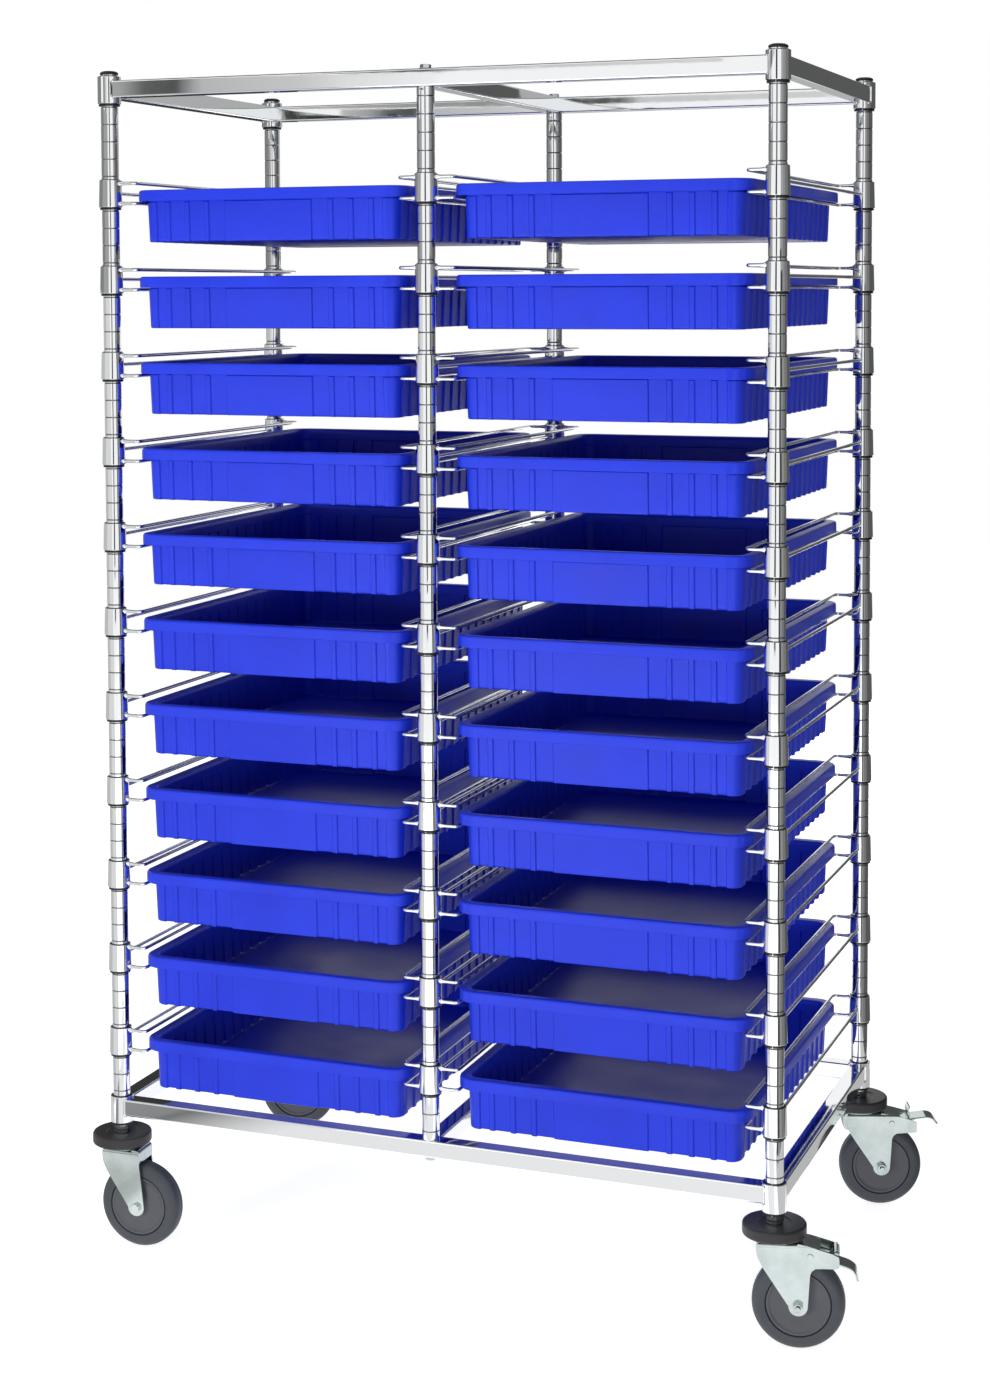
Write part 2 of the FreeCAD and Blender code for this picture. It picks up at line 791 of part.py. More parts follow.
def make_fork(name, braked):
    """A pressed fork about the stem's foot, trailing to +X: plain with a hood, or with brake arms."""
    body = new_body(name)
    gauge, top = size("fork_gauge"), size("fork_top")
    front, back = size("fork_front"), size("fork_back")
    axle_x, axle_z = size("trail"), wheel_radius
    heel = size("cheek_round")
    nose_foot = top - size("fork_nose")
    low = axle_z - heel - gauge

    outline = [(-front, top), (-front, nose_foot), (axle_x - heel, axle_z), (axle_x + heel, axle_z)]
    if braked:
        root, foot = size("arm_root"), size("arm_foot")
        outline += [
            (root, foot - size("arm_fillet")),
            (root + size("arm_fillet"), foot),
            (size("arm_back"), foot),
            (size("arm_back"), size("arm_top")),
        ]
    outline.append((back, top))
    drawing = new_sketch(body, "XZ_Plane")
    draw_polygon(drawing, outline)
    pad(body, drawing, size("fork_width"), symmetric=True)
    drawing = new_sketch(body, "XZ_Plane")
    draw_circle(drawing, axle_x, axle_z, heel * 2)
    pad(body, drawing, size("fork_width"), symmetric=True)

    slope = (axle_x - heel + front) / (nose_foot - axle_z)
    web_x = (nose_foot - size("web_foot")) * slope - front + gauge * distance(dim(1), slope)
    room = [
        (-front + gauge, top - gauge),
        (-front + gauge, nose_foot),
        (web_x, size("web_foot")),
        (-front - gauge, size("web_foot")),
        (-front - gauge, low),
    ]
    if braked:
        web_end = size("arm_web")
        fall = (top - size("arm_top")) / (size("arm_back") - back)
        behind = size("arm_back") + gauge
        room += [
            (behind, low),
            (behind, top + gauge),
            (web_end, top + gauge),
            (web_end, top - gauge - (web_end - back) * fall),
            (back, top - gauge),
        ]
    else:
        behind = axle_x + heel + gauge
        room += [(behind, low), (behind, top - gauge)]
    drawing = new_sketch(body, "XZ_Plane")
    draw_polygon(drawing, room)
    pocket(body, drawing, size("fork_width") - gauge * 2, symmetric=True)

    if not braked:
        drawing = new_sketch(body, "XZ_Plane")
        lip = size("hood_back")
        draw_polygon(drawing, [
            (back - gauge * 2, top - gauge),
            (lip - gauge, top - gauge * 2),
            (lip - gauge, size("hood_foot")),
            (lip, size("hood_foot")),
            (lip, top - gauge),
            (back - gauge * 2, top),
        ])
        pad(body, drawing, size("fork_width"), symmetric=True)

    drawing = new_sketch(body, "XZ_Plane")
    draw_circle(drawing, axle_x, axle_z, size("axle_dia") + size("fit_gap") * 2)
    if braked:
        draw_circle(drawing, size("pivot_x"), size("pivot_z"), size("pin_dia") + size("fit_gap") * 2)
    pocket(body, drawing, size("fork_width") * 2, symmetric=True)
    drawing = new_sketch(body, "XY_Plane", top - gauge)
    draw_circle(drawing, 0, 0, size("king_dia") + size("fit_gap") * 2)
    pocket(body, drawing, gauge * 2, symmetric=True)
    return body


def make_axle_pieces():
    """A bolt with its head on the -Y cheek, and the nut on the other one, about the wheel's middle."""
    cheek = size("fork_width") / 2

    def add_hexagon(body, y, height):
        drawing = new_sketch(body, "XZ_Plane", y)
        draw_hexagon(drawing, size("axle_head"))
        pad(body, drawing, height)

    bolt = new_body("AxleBolt")
    add_hexagon(bolt, cheek, size("axle_head_height"))
    drawing = new_sketch(bolt, "XZ_Plane", -cheek - size("axle_nut_height") - size("axle_end"))
    draw_circle(drawing, 0, 0, size("axle_dia"))
    pad(bolt, drawing, cheek * 2 + size("axle_nut_height") + size("axle_end"))
    nut = new_body("AxleNut")
    add_hexagon(nut, -cheek - size("axle_nut_height"), size("axle_nut_height"))
    drawing = new_sketch(nut, "XZ_Plane", -cheek - size("axle_nut_height"))
    draw_circle(drawing, 0, 0, size("axle_dia") + size("fit_gap") * 2)
    pocket(nut, drawing, size("axle_nut_height"), reverse=True)
    return [bolt, nut]


def make_hub():
    """The wheel's centre, with a boss that fills the fork and a bore that runs on the axle."""
    bore = size("axle_dia") / 2 + size("fit_gap")
    boss_end = size("fork_width") / 2 - size("fork_gauge") - size("run_gap")
    face = size("wheel_width") / 2 - size("hub_inset")
    boss, rim = size("boss_dia") / 2, size("hub_dia") / 2
    return turned_body("Hub", [
        (-boss_end, bore), (boss_end, bore), (boss_end, boss), (face, boss),
        (face, rim), (-face, rim), (-face, boss), (-boss_end, boss),
    ], "YZ_Plane", "H_Axis")


def make_tyre():
    """A ring with rounded shoulders on the hub."""
    half = size("wheel_width") / 2
    inside = size("hub_dia") / 2
    body = turned_body("Tyre", [
        (-half, inside), (half, inside), (half, wheel_radius), (-half, wheel_radius),
    ], "YZ_Plane", "H_Axis")
    round_edges(body, size("tyre_round"), lambda edge: is_ring(edge, wheel_radius))
    return body


def make_pedal(name, tilt):
    """A brake lever about its pin: boss, plate with a release tab and a hooked tip, and the cam below."""
    body = new_body(name)
    half = size("pedal_gauge") / 2
    reach, tab = size("pedal_reach"), size("tab_place")
    bend, drop = reach - size("pedal_hook"), size("pedal_drop")
    hole = size("pin_dia") + size("fit_gap") * 2
    start = hole / 2 + half

    drawing = new_sketch(body, "XZ_Plane")
    draw_circle(drawing, 0, 0, size("pedal_boss"))
    pad(body, drawing, size("pedal_width"), symmetric=True)

    drawing = new_sketch(body, "XZ_Plane", 0, tilt)
    draw_polygon(drawing, [
        (start, -half), (bend, -half), (reach - half * 2, -drop), (reach, -drop),
        (bend + half, half), (tab + half, half), (tab + half, size("tab_height")),
        (tab - half, size("tab_height")), (tab - half, half), (start, half),
    ])
    pad(body, drawing, size("pedal_width"), symmetric=True)

    to_axle = distance(size("pivot_x") - size("trail"), size("pivot_z") - wheel_radius)
    cam_end = to_axle - wheel_radius - size("cam_gap")
    lean = (size("pivot_x") - size("trail")) / (size("pivot_z") - wheel_radius)
    at_wheel = Dim(-math.degrees(math.atan(lean.value)), f"(0 - atan({lean.text}) / 1 deg)")
    cam = new_sketch(body, "XZ_Plane", 0, at_wheel + tilt - size("pedal_down"))
    half_cam = size("cam_width") / 2
    draw_box(cam, (-half_cam, -cam_end), (half_cam, -start))
    pad(body, cam, size("pedal_width"), symmetric=True)

    drawing = new_sketch(body, "XZ_Plane")
    draw_circle(drawing, 0, 0, hole)
    pocket(body, drawing, size("pedal_width") * 2, symmetric=True)
    return body


def make_brake_pin():
    """A headed pin through both arms, about its own middle."""
    radius, head = size("pin_dia") / 2, size("pin_head_dia") / 2
    shoulder = size("fork_width") / 2
    end = shoulder + size("pin_head_height")
    return turned_body("BrakePin", [
        (-end, 0), (end, 0), (end, head), (shoulder, head), (shoulder, radius),
        (-shoulder, radius), (-shoulder, head), (-end, head),
    ], "YZ_Plane", "H_Axis")


def make_casters():
    """A fork, axle, hub and tyre at every corner post, and a brake on the two right-hand ones."""
    plain, braked = make_fork("Fork", False), make_fork("BrakeFork", True)
    axle, hub, tyre, pin = make_axle_pieces(), make_hub(), make_tyre(), make_brake_pin()
    pedals = {
        "fr": make_pedal("PedalDown", size("pedal_down")),
        "rr": make_pedal("PedalUp", size("pedal_up")),
    }
    corners = {
        "fl": (left_x, front_y, size("turn_front_left")),
        "fr": (right_x, front_y, size("turn_front_right")),
        "rl": (left_x, rear_y, size("turn_rear_left")),
        "rr": (right_x, rear_y, size("turn_rear_right")),
    }
    for corner, (x, y, turn) in corners.items():
        has_brake = corner in pedals
        fork = copy_of(braked if has_brake else plain, "ForkCopy")
        put(fork, x, y, 0, turn)
        node(fork, f"fork_{corner}")
        trail_x, trail_y = along(turn, size("trail"))
        bolt = group("Axle", axle)
        put(bolt, x + trail_x, y + trail_y, wheel_radius, turn + 180 if has_brake else turn)
        node(bolt, f"axle_{corner}")
        for piece, label in ((hub, "hub"), (tyre, "tyre")):
            copy = copy_of(piece, "WheelCopy")
            put(copy, x + trail_x, y + trail_y, wheel_radius, turn)
            node(copy, f"{label}_{corner}")
        if has_brake:
            pivot_x, pivot_y = along(turn, size("pivot_x"))
            pin_copy = copy_of(pin, "BrakePinCopy")
            for piece, label in ((pedals[corner], "brake_pedal"), (pin_copy, "brake_pin")):
                put(piece, x + pivot_x, y + pivot_y, size("pivot_z"), turn)
                node(piece, f"{label}_{corner}")


make_posts()
make_post_caps()
make_frame("top_frame", top_tube, size("top_collar_mid"))
make_frame("bottom_frame", bottom_tube, size("bottom_collar_mid"))
make_middle_post_fixings()
make_slides()
make_split_sleeves()
make_bins()
make_caster_stems()
make_bumpers()
make_casters()
doc.recompute()

for thing in doc.Objects:
    if "Invalid" in thing.State or "Error" in thing.State:
        raise RuntimeError(f"{thing.Label} did not recompute: {thing.State}")
for thing in nodes:
    if thing.Shape.isNull() or not thing.Shape.isValid() or not thing.Shape.Solids:
        raise RuntimeError(f"{thing.Label} has no valid solid")

os.makedirs("parts", exist_ok=True)
for thing in nodes:
    thing.Shape.exportStep(os.path.join("parts", f"{thing.Label}.step"))
    print(f"{thing.Label}: {len(thing.Shape.Solids)} solids, {thing.Shape.Volume / 1000:.1f} cm3")
box = Part.makeCompound([thing.Shape for thing in nodes]).optimalBoundingBox()
print(f"{len(nodes)} sub-parts, X {box.XMin:.1f} to {box.XMax:.1f}, "
      f"Y {box.YMin:.1f} to {box.YMax:.1f}, Z {box.ZMin:.1f} to {box.ZMax:.1f}")
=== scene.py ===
# %% [markdown]
# # A mobile bin cart
# Two bays of blue trays hang on wire slides between grooved chrome posts, on four casters. The CAD
# solids come in as a fixed frame, and this lesson lays over them the surfaces that the eye sees.
# Lengths are in millimetres, as on a workshop drawing, until a mesh is made in metres.

import bmesh
import bpy
import numpy as np
from mathutils import Matrix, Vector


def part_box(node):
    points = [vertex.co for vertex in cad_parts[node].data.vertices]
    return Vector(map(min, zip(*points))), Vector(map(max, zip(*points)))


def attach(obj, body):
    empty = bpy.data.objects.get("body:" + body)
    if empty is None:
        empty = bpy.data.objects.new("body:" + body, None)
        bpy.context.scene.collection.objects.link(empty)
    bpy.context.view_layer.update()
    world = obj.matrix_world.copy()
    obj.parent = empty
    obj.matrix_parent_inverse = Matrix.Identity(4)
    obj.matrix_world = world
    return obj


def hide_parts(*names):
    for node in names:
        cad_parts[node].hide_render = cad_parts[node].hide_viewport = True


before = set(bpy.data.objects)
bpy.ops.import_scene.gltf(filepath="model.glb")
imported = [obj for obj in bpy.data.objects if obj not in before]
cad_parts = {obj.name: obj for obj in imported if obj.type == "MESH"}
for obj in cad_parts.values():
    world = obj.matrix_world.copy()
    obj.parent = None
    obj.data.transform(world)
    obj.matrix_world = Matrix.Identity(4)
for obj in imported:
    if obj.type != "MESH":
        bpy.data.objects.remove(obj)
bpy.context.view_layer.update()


def box_mm(node):
    """A CAD node's lowest and highest corners, in millimetres."""
    return np.array(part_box(node)) * 1000


POST_PLACES = ("front_left", "front_middle", "front_right", "rear_left", "rear_middle", "rear_right")
post_axis = {place: box_mm("post_" + place).mean(axis=0)[:2] for place in POST_PLACES}
print("post axes:", {place: axis.round(1).tolist() for place, axis in post_axis.items()})

# %% [markdown]
# ## The camera
# The photograph was taken from the right of the cart, at about chest height, with the film plane
# nearly upright, so the posts stay parallel. A camera that is aimed nearly level and then shifted down
# does the same. Its place, lens and turn were fitted to the posts, rims and wheels. They are set as one
# matrix.

# %% Camera
CAMERA_PLACE = (1.2384, -3.3512, 1.4350)    # metres
CAMERA_TURN = (-20.898, -3.280, -0.197)     # yaw to the left, pitch, roll, in degrees

yaw, pitch, roll = np.radians(CAMERA_TURN)
ahead = np.array([np.sin(yaw) * np.cos(pitch), np.cos(yaw) * np.cos(pitch), np.sin(pitch)])
level_right = np.array([np.cos(yaw), -np.sin(yaw), 0])
level_up = np.cross(level_right, ahead)
camera_right = np.cos(roll) * level_right + np.sin(roll) * level_up
camera_up = np.cos(roll) * level_up - np.sin(roll) * level_right
camera_matrix = np.eye(4)
camera_matrix[:3] = np.column_stack([camera_right, camera_up, -ahead, CAMERA_PLACE])

camera = bpy.data.objects.new("camera", bpy.data.cameras.new("camera"))
camera.data.lens = 60.772
camera.data.sensor_width = 36
camera.data.shift_y = -0.195
camera.matrix_world = Matrix(camera_matrix)
bpy.context.scene.collection.objects.link(camera)
bpy.context.scene.camera = camera
print("camera looks along", ahead.round(3).tolist())

# %% [markdown]
# ## From arrays to pieces
# Every new surface is a grid of points, rows by columns. The helpers below give the grid its four-sided
# faces, round the corners of a drawn line, turn a line about an axis, and carry a flat section along
# a path. A row that shrinks to one point closes an end, and merging doubles then leaves a clean pole.

# %% Grids
def grid(points, ring=True, loop=False):
    """Vertices and quads of points[row, column].

    A ring joins the last column to the first, and a loop joins the last row to the first.
    """
    rows, columns = points.shape[:2]
    number = np.arange(rows * columns).reshape(rows, columns)
    if ring:
        number = np.hstack([number, number[:, :1]])
    if loop:
        number = np.vstack([number, number[:1]])
    corners = [number[:-1, :-1], number[:-1, 1:], number[1:, 1:], number[1:, :-1]]
    return points.reshape(-1, 3), np.stack(corners, axis=-1).reshape(-1, 4)


def end_closed(points):
    """The same grid with a first and a last row that shrink to the middle of the rows beside them."""
    ends = [np.broadcast_to(row.mean(axis=0), row.shape)[None] for row in (points[0], points[-1])]
    return np.concatenate([ends[0], points, ends[1]])


def soften(corners, reach, steps=5, closed=False):
    """Round a drawn line: each corner becomes a curve that leaves it by reach on both sides.

    With b the corner and a, c the points at that reach, the curve is a(1-t)^2 + 2bt(1-t) + ct^2.
    """
    corners = np.asarray(corners, float)
    before, after = np.roll(corners, 1, axis=0) - corners, np.roll(corners, -1, axis=0) - corners
    sides = [np.linalg.norm(side, axis=1, keepdims=True) for side in (before, after)]
    reach = np.minimum(np.broadcast_to(reach, len(corners))[:, None], 0.48 * np.minimum(*sides))
    a, b, c = corners + before / sides[0] * reach, corners, corners + after / sides[1] * reach
    t = np.linspace(0, 1, steps)[None, :, None]
    curve = a[:, None] * (1 - t) ** 2 + 2 * b[:, None] * t * (1 - t) + c[:, None] * t ** 2
    if closed:
        return curve.reshape(-1, corners.shape[1])
    return np.vstack([corners[:1], curve[1:-1].reshape(-1, corners.shape[1]), corners[-1:]])


def turn_about_z(profile, sides=48):
    """Turn a line of (radius, height) about the z axis: x = r cos a, y = r sin a, z = height."""
    radius, height = np.asarray(profile, float).T
    angle = np.arange(sides) * 2 * np.pi / sides
    upright = np.repeat(height[:, None], sides, axis=1)
    return np.stack([np.outer(radius, np.cos(angle)), np.outer(radius, np.sin(angle)), upright], axis=-1)


def carry(section, path, up=(0, 0, 1), closed=False, stretch=1.0):
    """Carry a section (across, height) along a path: point = path + across * side + height * normal.

    The side is at right angles to the path and to the up direction, and the normal to side and path.
    """
    path = np.asarray(path, float)
    ends = np.vstack([path[-1:], path, path[:1]]) if closed else path
    heading = np.gradient(ends, axis=0)
    heading = heading[1:-1] if closed else heading
    heading /= np.linalg.norm(heading, axis=1, keepdims=True)
    side = np.cross(heading, up)
    side /= np.linalg.norm(side, axis=1, keepdims=True)
    normal = np.cross(side, heading)
    scaled = np.asarray(section)[None] * np.broadcast_to(stretch, (len(path), 2))[:, None]
    return path[:, None] + scaled[..., :1] * side[:, None] + scaled[..., 1:] * normal[:, None]


def circle(radius, sides=12):
    """A round section of that radius."""
    angle = np.arange(sides) * 2 * np.pi / sides
    return radius * np.column_stack([np.cos(angle), np.sin(angle)])


print("a post's ring of", turn_about_z([(12.7, 0)]).shape[1], "points")

# %% Pieces
def make_piece(name, surfaces, finish, slot, body, *nodes, crease=35, wall=0.0, edge=0.0, dirt_and_shade=None):
    """Join surfaces into one mesh at the origin, hang it on its body, hide the CAD nodes it stands for, and
    count its faces.

    A sheet gets a wall of that thickness inwards, and an edge rounds what the wall leaves sharp.
    The share given for every point, from 0 to 1, is partly dirty plating and partly painted shade, and a
    finish can read it as an attribute.
    """
    starts = np.cumsum([0] + [len(points) for points, _ in surfaces])
    points = np.vstack([points for points, _ in surfaces]) / 1000
    quads = np.vstack([quads + start for (_, quads), start in zip(surfaces, starts)])
    mesh = bpy.data.meshes.new(name)
    mesh.vertices.add(len(points))
    mesh.vertices.foreach_set("co", points.ravel())
    mesh.loops.add(quads.size)
    mesh.loops.foreach_set("vertex_index", quads.ravel())
    mesh.polygons.add(len(quads))
    mesh.polygons.foreach_set("loop_start", np.arange(0, quads.size, 4))
    mesh.update(calc_edges=True)
    if dirt_and_shade is not None:
        mesh.attributes.new("dirt_and_shade", "FLOAT", "POINT").data.foreach_set("value", dirt_and_shade)
    shell = bmesh.new()
    shell.from_mesh(mesh)
    bmesh.ops.remove_doubles(shell, verts=shell.verts, dist=1e-6)
    bmesh.ops.recalc_face_normals(shell, faces=shell.faces)
    shell.to_mesh(mesh)
    shell.free()
    mesh.shade_smooth()
    mesh.set_sharp_from_angle(angle=np.radians(crease))
    piece = bpy.data.objects.new(name, mesh)
    bpy.context.scene.collection.objects.link(piece)
    mesh.materials.append(finish)
    if wall:
        sheet = piece.modifiers.new("wall", "SOLIDIFY")
        sheet.thickness = wall / 1000
        sheet.offset = -1
    if edge:
        rounding = piece.modifiers.new("edge", "BEVEL")
        rounding.width = edge / 1000
        rounding.segments = 2
        rounding.limit_method = "ANGLE"
        rounding.angle_limit = np.radians(40)
    # Wide faces keep their own direction beside a narrow rounded lip.
    facing = piece.modifiers.new("facing", "WEIGHTED_NORMAL")
    facing.keep_sharp = True
    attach(piece, body)
    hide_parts(*nodes)
    print(f"{name}: {len(mesh.polygons)} faces, on {body}")


def moved(surface, *place):
    """A surface shifted by x, y, z."""
    points, quads = surface
    return points + np.array(place, float), quads


def turned(surface, degrees):
    """A surface turned about the z axis."""
    points, quads = surface
    c, s = np.cos(np.radians(degrees)), np.sin(np.radians(degrees))
    return points @ np.array([[c, s, 0], [-s, c, 0], [0, 0, 1]]), quads


# %% [markdown]
# ## Finishes
# Seven finishes cover the cart. Each starts from what the real one is and how it was made: electroplated
# chromium over polished steel, zinc plate on pressed steel, moulded polypropylene, nylon, and two
# rubbers. Patterns are measured in millimetres on Object coordinates, so they stay put on a moving piece.

# %% Finish helpers
def linear(colour):
    """An sRGB hex colour as linear red, green, blue and alpha."""
    parts = np.array([int(colour[k:k + 2], 16) for k in (1, 3, 5)]) / 255
    return (*np.where(parts <= 0.04045, parts / 12.92, ((parts + 0.055) / 1.055) ** 2.4), 1.0)


def per_mm(size):
    """A texture scale that makes one feature about this many millimetres across."""
    return 1000 / size


def add(tree, kind, values=None, links=None, **settings):
    """Add one node to a tree: settings are its options, values fill its sockets, and links feed them."""
    node = tree.nodes.new("ShaderNode" + kind)
    for option, setting in settings.items():
        setattr(node, option, setting)
    for socket, value in (values or {}).items():
        node.inputs[socket].default_value = value
    for socket, source in (links or {}).items():
        tree.links.new(source, node.inputs[socket])
    return node


def new_finish(name, **sockets):
    """A material with a Principled shader whose constant sockets are set directly.

    A socket's name has _ for each space.
    """
    finish = bpy.data.materials.new(name)
    finish.use_nodes = True
    shader = finish.node_tree.nodes["Principled BSDF"]
    for socket, value in sockets.items():
        shader.inputs[socket.replace("_", " ")].default_value = value
    place = add(finish.node_tree, "TexCoord").outputs["Object"]
    return finish, finish.node_tree, shader, place


# %% Chromium plate and zinc plate
# Bright chromium over polished tube: a clear mirror, dulled in soft patches by handling.
chrome, tree, shader, place = new_finish("chromium_plate", Metallic=1.0)
# The rolled grooves are painted grey: partly dull plating that polish doesn't reach, partly painted shade
# for the narrow groove.
dirt_and_shade = add(tree, "Attribute", attribute_name="dirt_and_shade")
tone = add(tree, "ValToRGB", links={"Fac": dirt_and_shade.outputs["Fac"]})
tone.color_ramp.elements[0].color = linear("#f0f2f3")
tone.color_ramp.elements[1].color = linear("#8e8e90")
tree.links.new(tone.outputs["Color"], shader.inputs["Base Color"])
haze = add(tree, "TexNoise", {"Scale": per_mm(35), "Detail": 4.0}, {"Vector": place})
dull = add(tree, "MapRange", {"From Min": 0.35, "From Max": 0.7, "To Min": 0.025, "To Max": 0.07},
           {"Value": haze.outputs["Fac"]})
tree.links.new(dull.outputs["Result"], shader.inputs["Roughness"])
# Polishing leaves a slow ripple of about 18 mm that makes long reflections waver.
ripple = add(tree, "TexNoise", {"Scale": per_mm(18), "Detail": 1.0}, {"Vector": place})
relief = add(tree, "Bump", {"Strength": 0.05, "Distance": 0.0004}, {"Height": ripple.outputs["Fac"]})
tree.links.new(relief.outputs["Normal"], shader.inputs["Normal"])

# Bright zinc with a clear passivate: paler and softer than chromium, a little green, with fine crystals.
zinc, tree, shader, place = new_finish("zinc_plate", Metallic=1.0)
crystals = add(tree, "TexNoise", {"Scale": per_mm(2.5), "Detail": 3.0}, {"Vector": place})
clouds = add(tree, "TexNoise", {"Scale": per_mm(45), "Detail": 5.0, "Roughness": 0.6}, {"Vector": place})
tone = add(tree, "ValToRGB", links={"Fac": clouds.outputs["Fac"]})
tone.color_ramp.elements[0].position = 0.3
tone.color_ramp.elements[0].color = linear("#b3bebb")
tone.color_ramp.elements[1].position = 0.7
tone.color_ramp.elements[1].color = linear("#ced7d4")
tree.links.new(tone.outputs["Color"], shader.inputs["Base Color"])
dull = add(tree, "MapRange", {"From Min": 0.3, "From Max": 0.7, "To Min": 0.13, "To Max": 0.18},
           {"Value": crystals.outputs["Fac"]})
tree.links.new(dull.outputs["Result"], shader.inputs["Roughness"])
relief = add(tree, "Bump", {"Strength": 0.025, "Distance": 0.0002}, {"Height": crystals.outputs["Fac"]})
tree.links.new(relief.outputs["Normal"], shader.inputs["Normal"])
print("metals:", chrome.name, zinc.name)

# %% Blue polypropylene
# Injection-moulded polypropylene, deep blue all through: satin, with a fine spark-eroded grain. The real
# grain is about 0.3 mm and is drawn at 1.6 mm so that it shows. Flow and handling vary the gloss broadly.
blue_plastic, tree, shader, place = new_finish("blue_polypropylene", IOR=1.49, Specular_IOR_Level=0.42)
flow = add(tree, "TexNoise", {"Scale": per_mm(90), "Detail": 3.0}, {"Vector": place})
tone = add(tree, "ValToRGB", links={"Fac": flow.outputs["Fac"]})
tone.color_ramp.elements[0].position = 0.3
tone.color_ramp.elements[0].color = linear("#1a32ca")
tone.color_ramp.elements[1].position = 0.7
tone.color_ramp.elements[1].color = linear("#2039d5")
tree.links.new(tone.outputs["Color"], shader.inputs["Base Color"])
grain = add(tree, "TexNoise", {"Scale": per_mm(1.6), "Detail": 2.0}, {"Vector": place})
dull = add(tree, "MapRange", {"From Min": 0.3, "From Max": 0.7, "To Min": 0.3, "To Max": 0.4},
           {"Value": flow.outputs["Fac"]})
tree.links.new(dull.outputs["Result"], shader.inputs["Roughness"])
relief = add(tree, "Bump", {"Strength": 0.12, "Distance": 0.0003}, {"Height": grain.outputs["Fac"]})
tree.links.new(relief.outputs["Normal"], shader.inputs["Normal"])
print("bins:", blue_plastic.name)

# %% Nylon, rubbers and the wheel's centre
# The four dark finishes share one build: a tone that varies over some millimetres and a moulded grain.
# Name: dark tone, light tone, roughness, size of the patches and of the grain in millimetres, its depth.
DARK_FINISHES = {
    "black_nylon": ("#141416", "#1e1e20", 0.34, 8, 1.2, 0.1),
    "bumper_rubber": ("#202022", "#2f2f31", 0.44, 25, 1.5, 0.2),
    "grey_tread_rubber": ("#393d42", "#44484e", 0.5, 20, 1.4, 0.2),
    "wheel_polypropylene": ("#47484d", "#53545a", 0.42, 18, 1.2, 0.15),
}
dark = {}
for name, (deep, pale, rough, patch, grit, depth) in DARK_FINISHES.items():
    dark[name], tree, shader, place = new_finish(name, Roughness=rough, IOR=1.5)
    patches = add(tree, "TexNoise", {"Scale": per_mm(patch), "Detail": 4.0}, {"Vector": place})
    tone = add(tree, "ValToRGB", links={"Fac": patches.outputs["Fac"]})
    tone.color_ramp.elements[0].color = linear(deep)
    tone.color_ramp.elements[1].color = linear(pale)
    tree.links.new(tone.outputs["Color"], shader.inputs["Base Color"])
    grain = add(tree, "TexNoise", {"Scale": per_mm(grit), "Detail": 2.0}, {"Vector": place})
    relief = add(tree, "Bump", {"Strength": depth, "Distance": 0.0003}, {"Height": grain.outputs["Fac"]})
    tree.links.new(relief.outputs["Normal"], shader.inputs["Normal"])
print("dark finishes:", sorted(dark))

# %% [markdown]
# ## Posts
# A post is a tube with a rolled ring groove every inch, where the split sleeves lock. It could be
# a cylinder with cuts, but one line of radius against height, turned about the axis, gives the grooves
# their rolled edges at once. All the grooves come from one short pattern, repeated up the post.

# %% Posts
POST_RADIUS = 12.7
GROOVE_PITCH = 25.4
POST_SIDES = 40
RIM = 0.8
# Radius change, height, and share of dull plating and painted shade across one groove.
groove = np.array([(0, -1.1, 0), (-0.15, -0.9, 0.7), (-0.8, -0.3, 1),
                   (-0.8, 0.3, 1), (-0.15, 0.9, 0.7), (0, 1.1, 0)])


def grooved_post(foot, top):
    """Radius against height: the foot's rim, then the groove pattern at every pitch, then the top's rim.

    Gives the surface and, for each of its points, its share of dull plating and painted shade.
    """
    count = int((top - foot) / GROOVE_PITCH)
    middles = foot + GROOVE_PITCH * (np.arange(count) + 0.5)
    heights = (middles[:, None] + groove[:, 1]).ravel()
    radii = np.tile(POST_RADIUS + groove[:, 0], count)
    low = [(0, foot), (POST_RADIUS - RIM, foot), (POST_RADIUS, foot + RIM)]
    high = [(POST_RADIUS, top - RIM), (POST_RADIUS - RIM, top), (0, top)]
    dirt_and_shade = np.concatenate([np.zeros(len(low)), np.tile(groove[:, 2], count), np.zeros(len(high))])
    surface = grid(turn_about_z(np.vstack([low, np.column_stack([radii, heights]), high]), POST_SIDES))
    return surface, np.repeat(dirt_and_shade, POST_SIDES)


for post, (x, y) in post_axis.items():
    low, high = box_mm("post_" + post)[:, 2]
    surface, dirt_and_shade = grooved_post(low, high)
    make_piece("grooved_post_" + post, [moved(surface, x, y, 0)],
               chrome, "chrome", "root", "post_" + post, crease=50, dirt_and_shade=dirt_and_shade)

# %% Post caps
# Moulded plugs with a domed head that close the open ends of the corner posts.
CORNERS = {"fl": "front_left", "fr": "front_right", "rl": "rear_left", "rr": "rear_right"}
post_top = box_mm("post_front_left")[1, 2]
cap_high = box_mm("post_caps")[1, 2] - post_top
cap_line = soften([(0, -6), (11, -6), (11, 0.02), (13.5, 0.02), (13.5, cap_high * 0.5), (9.5, cap_high),
                   (0, cap_high)], [0, 0, 0, 0.5, 2.0, 4.0, 0])
caps = [moved(grid(turn_about_z(cap_line)), *post_axis[place], post_top) for place in CORNERS.values()]
make_piece("domed_caps", caps, dark["black_nylon"], "black_plastic", "root", "post_caps")

# %% [markdown]
# ## Top and bottom frames
# Each frame is square tube welded to four short sleeves, with a fifth tube across the middle. A tube is a
# rounded square carried along a line. At a sleeve its end is coped: every point of the square goes
# on to where it meets the round sleeve, which is the square root of R^2 less the sideways distance squared.

# %% Frames
TUBE_HALF = 12.5
SLEEVE_RADIUS = 17.0
COLLAR_HEIGHT, COLLAR_BORE = 40.0, 14.7
square = soften(TUBE_HALF * np.array([(-1, -1), (1, -1), (1, 1), (-1, 1)]), 2.6, steps=4, closed=True)


def cope(across):
    """How far from a sleeve's axis the tube's end lies, a little inside the sleeve's wall."""
    return np.sqrt(SLEEVE_RADIUS ** 2 - across ** 2) - 0.5


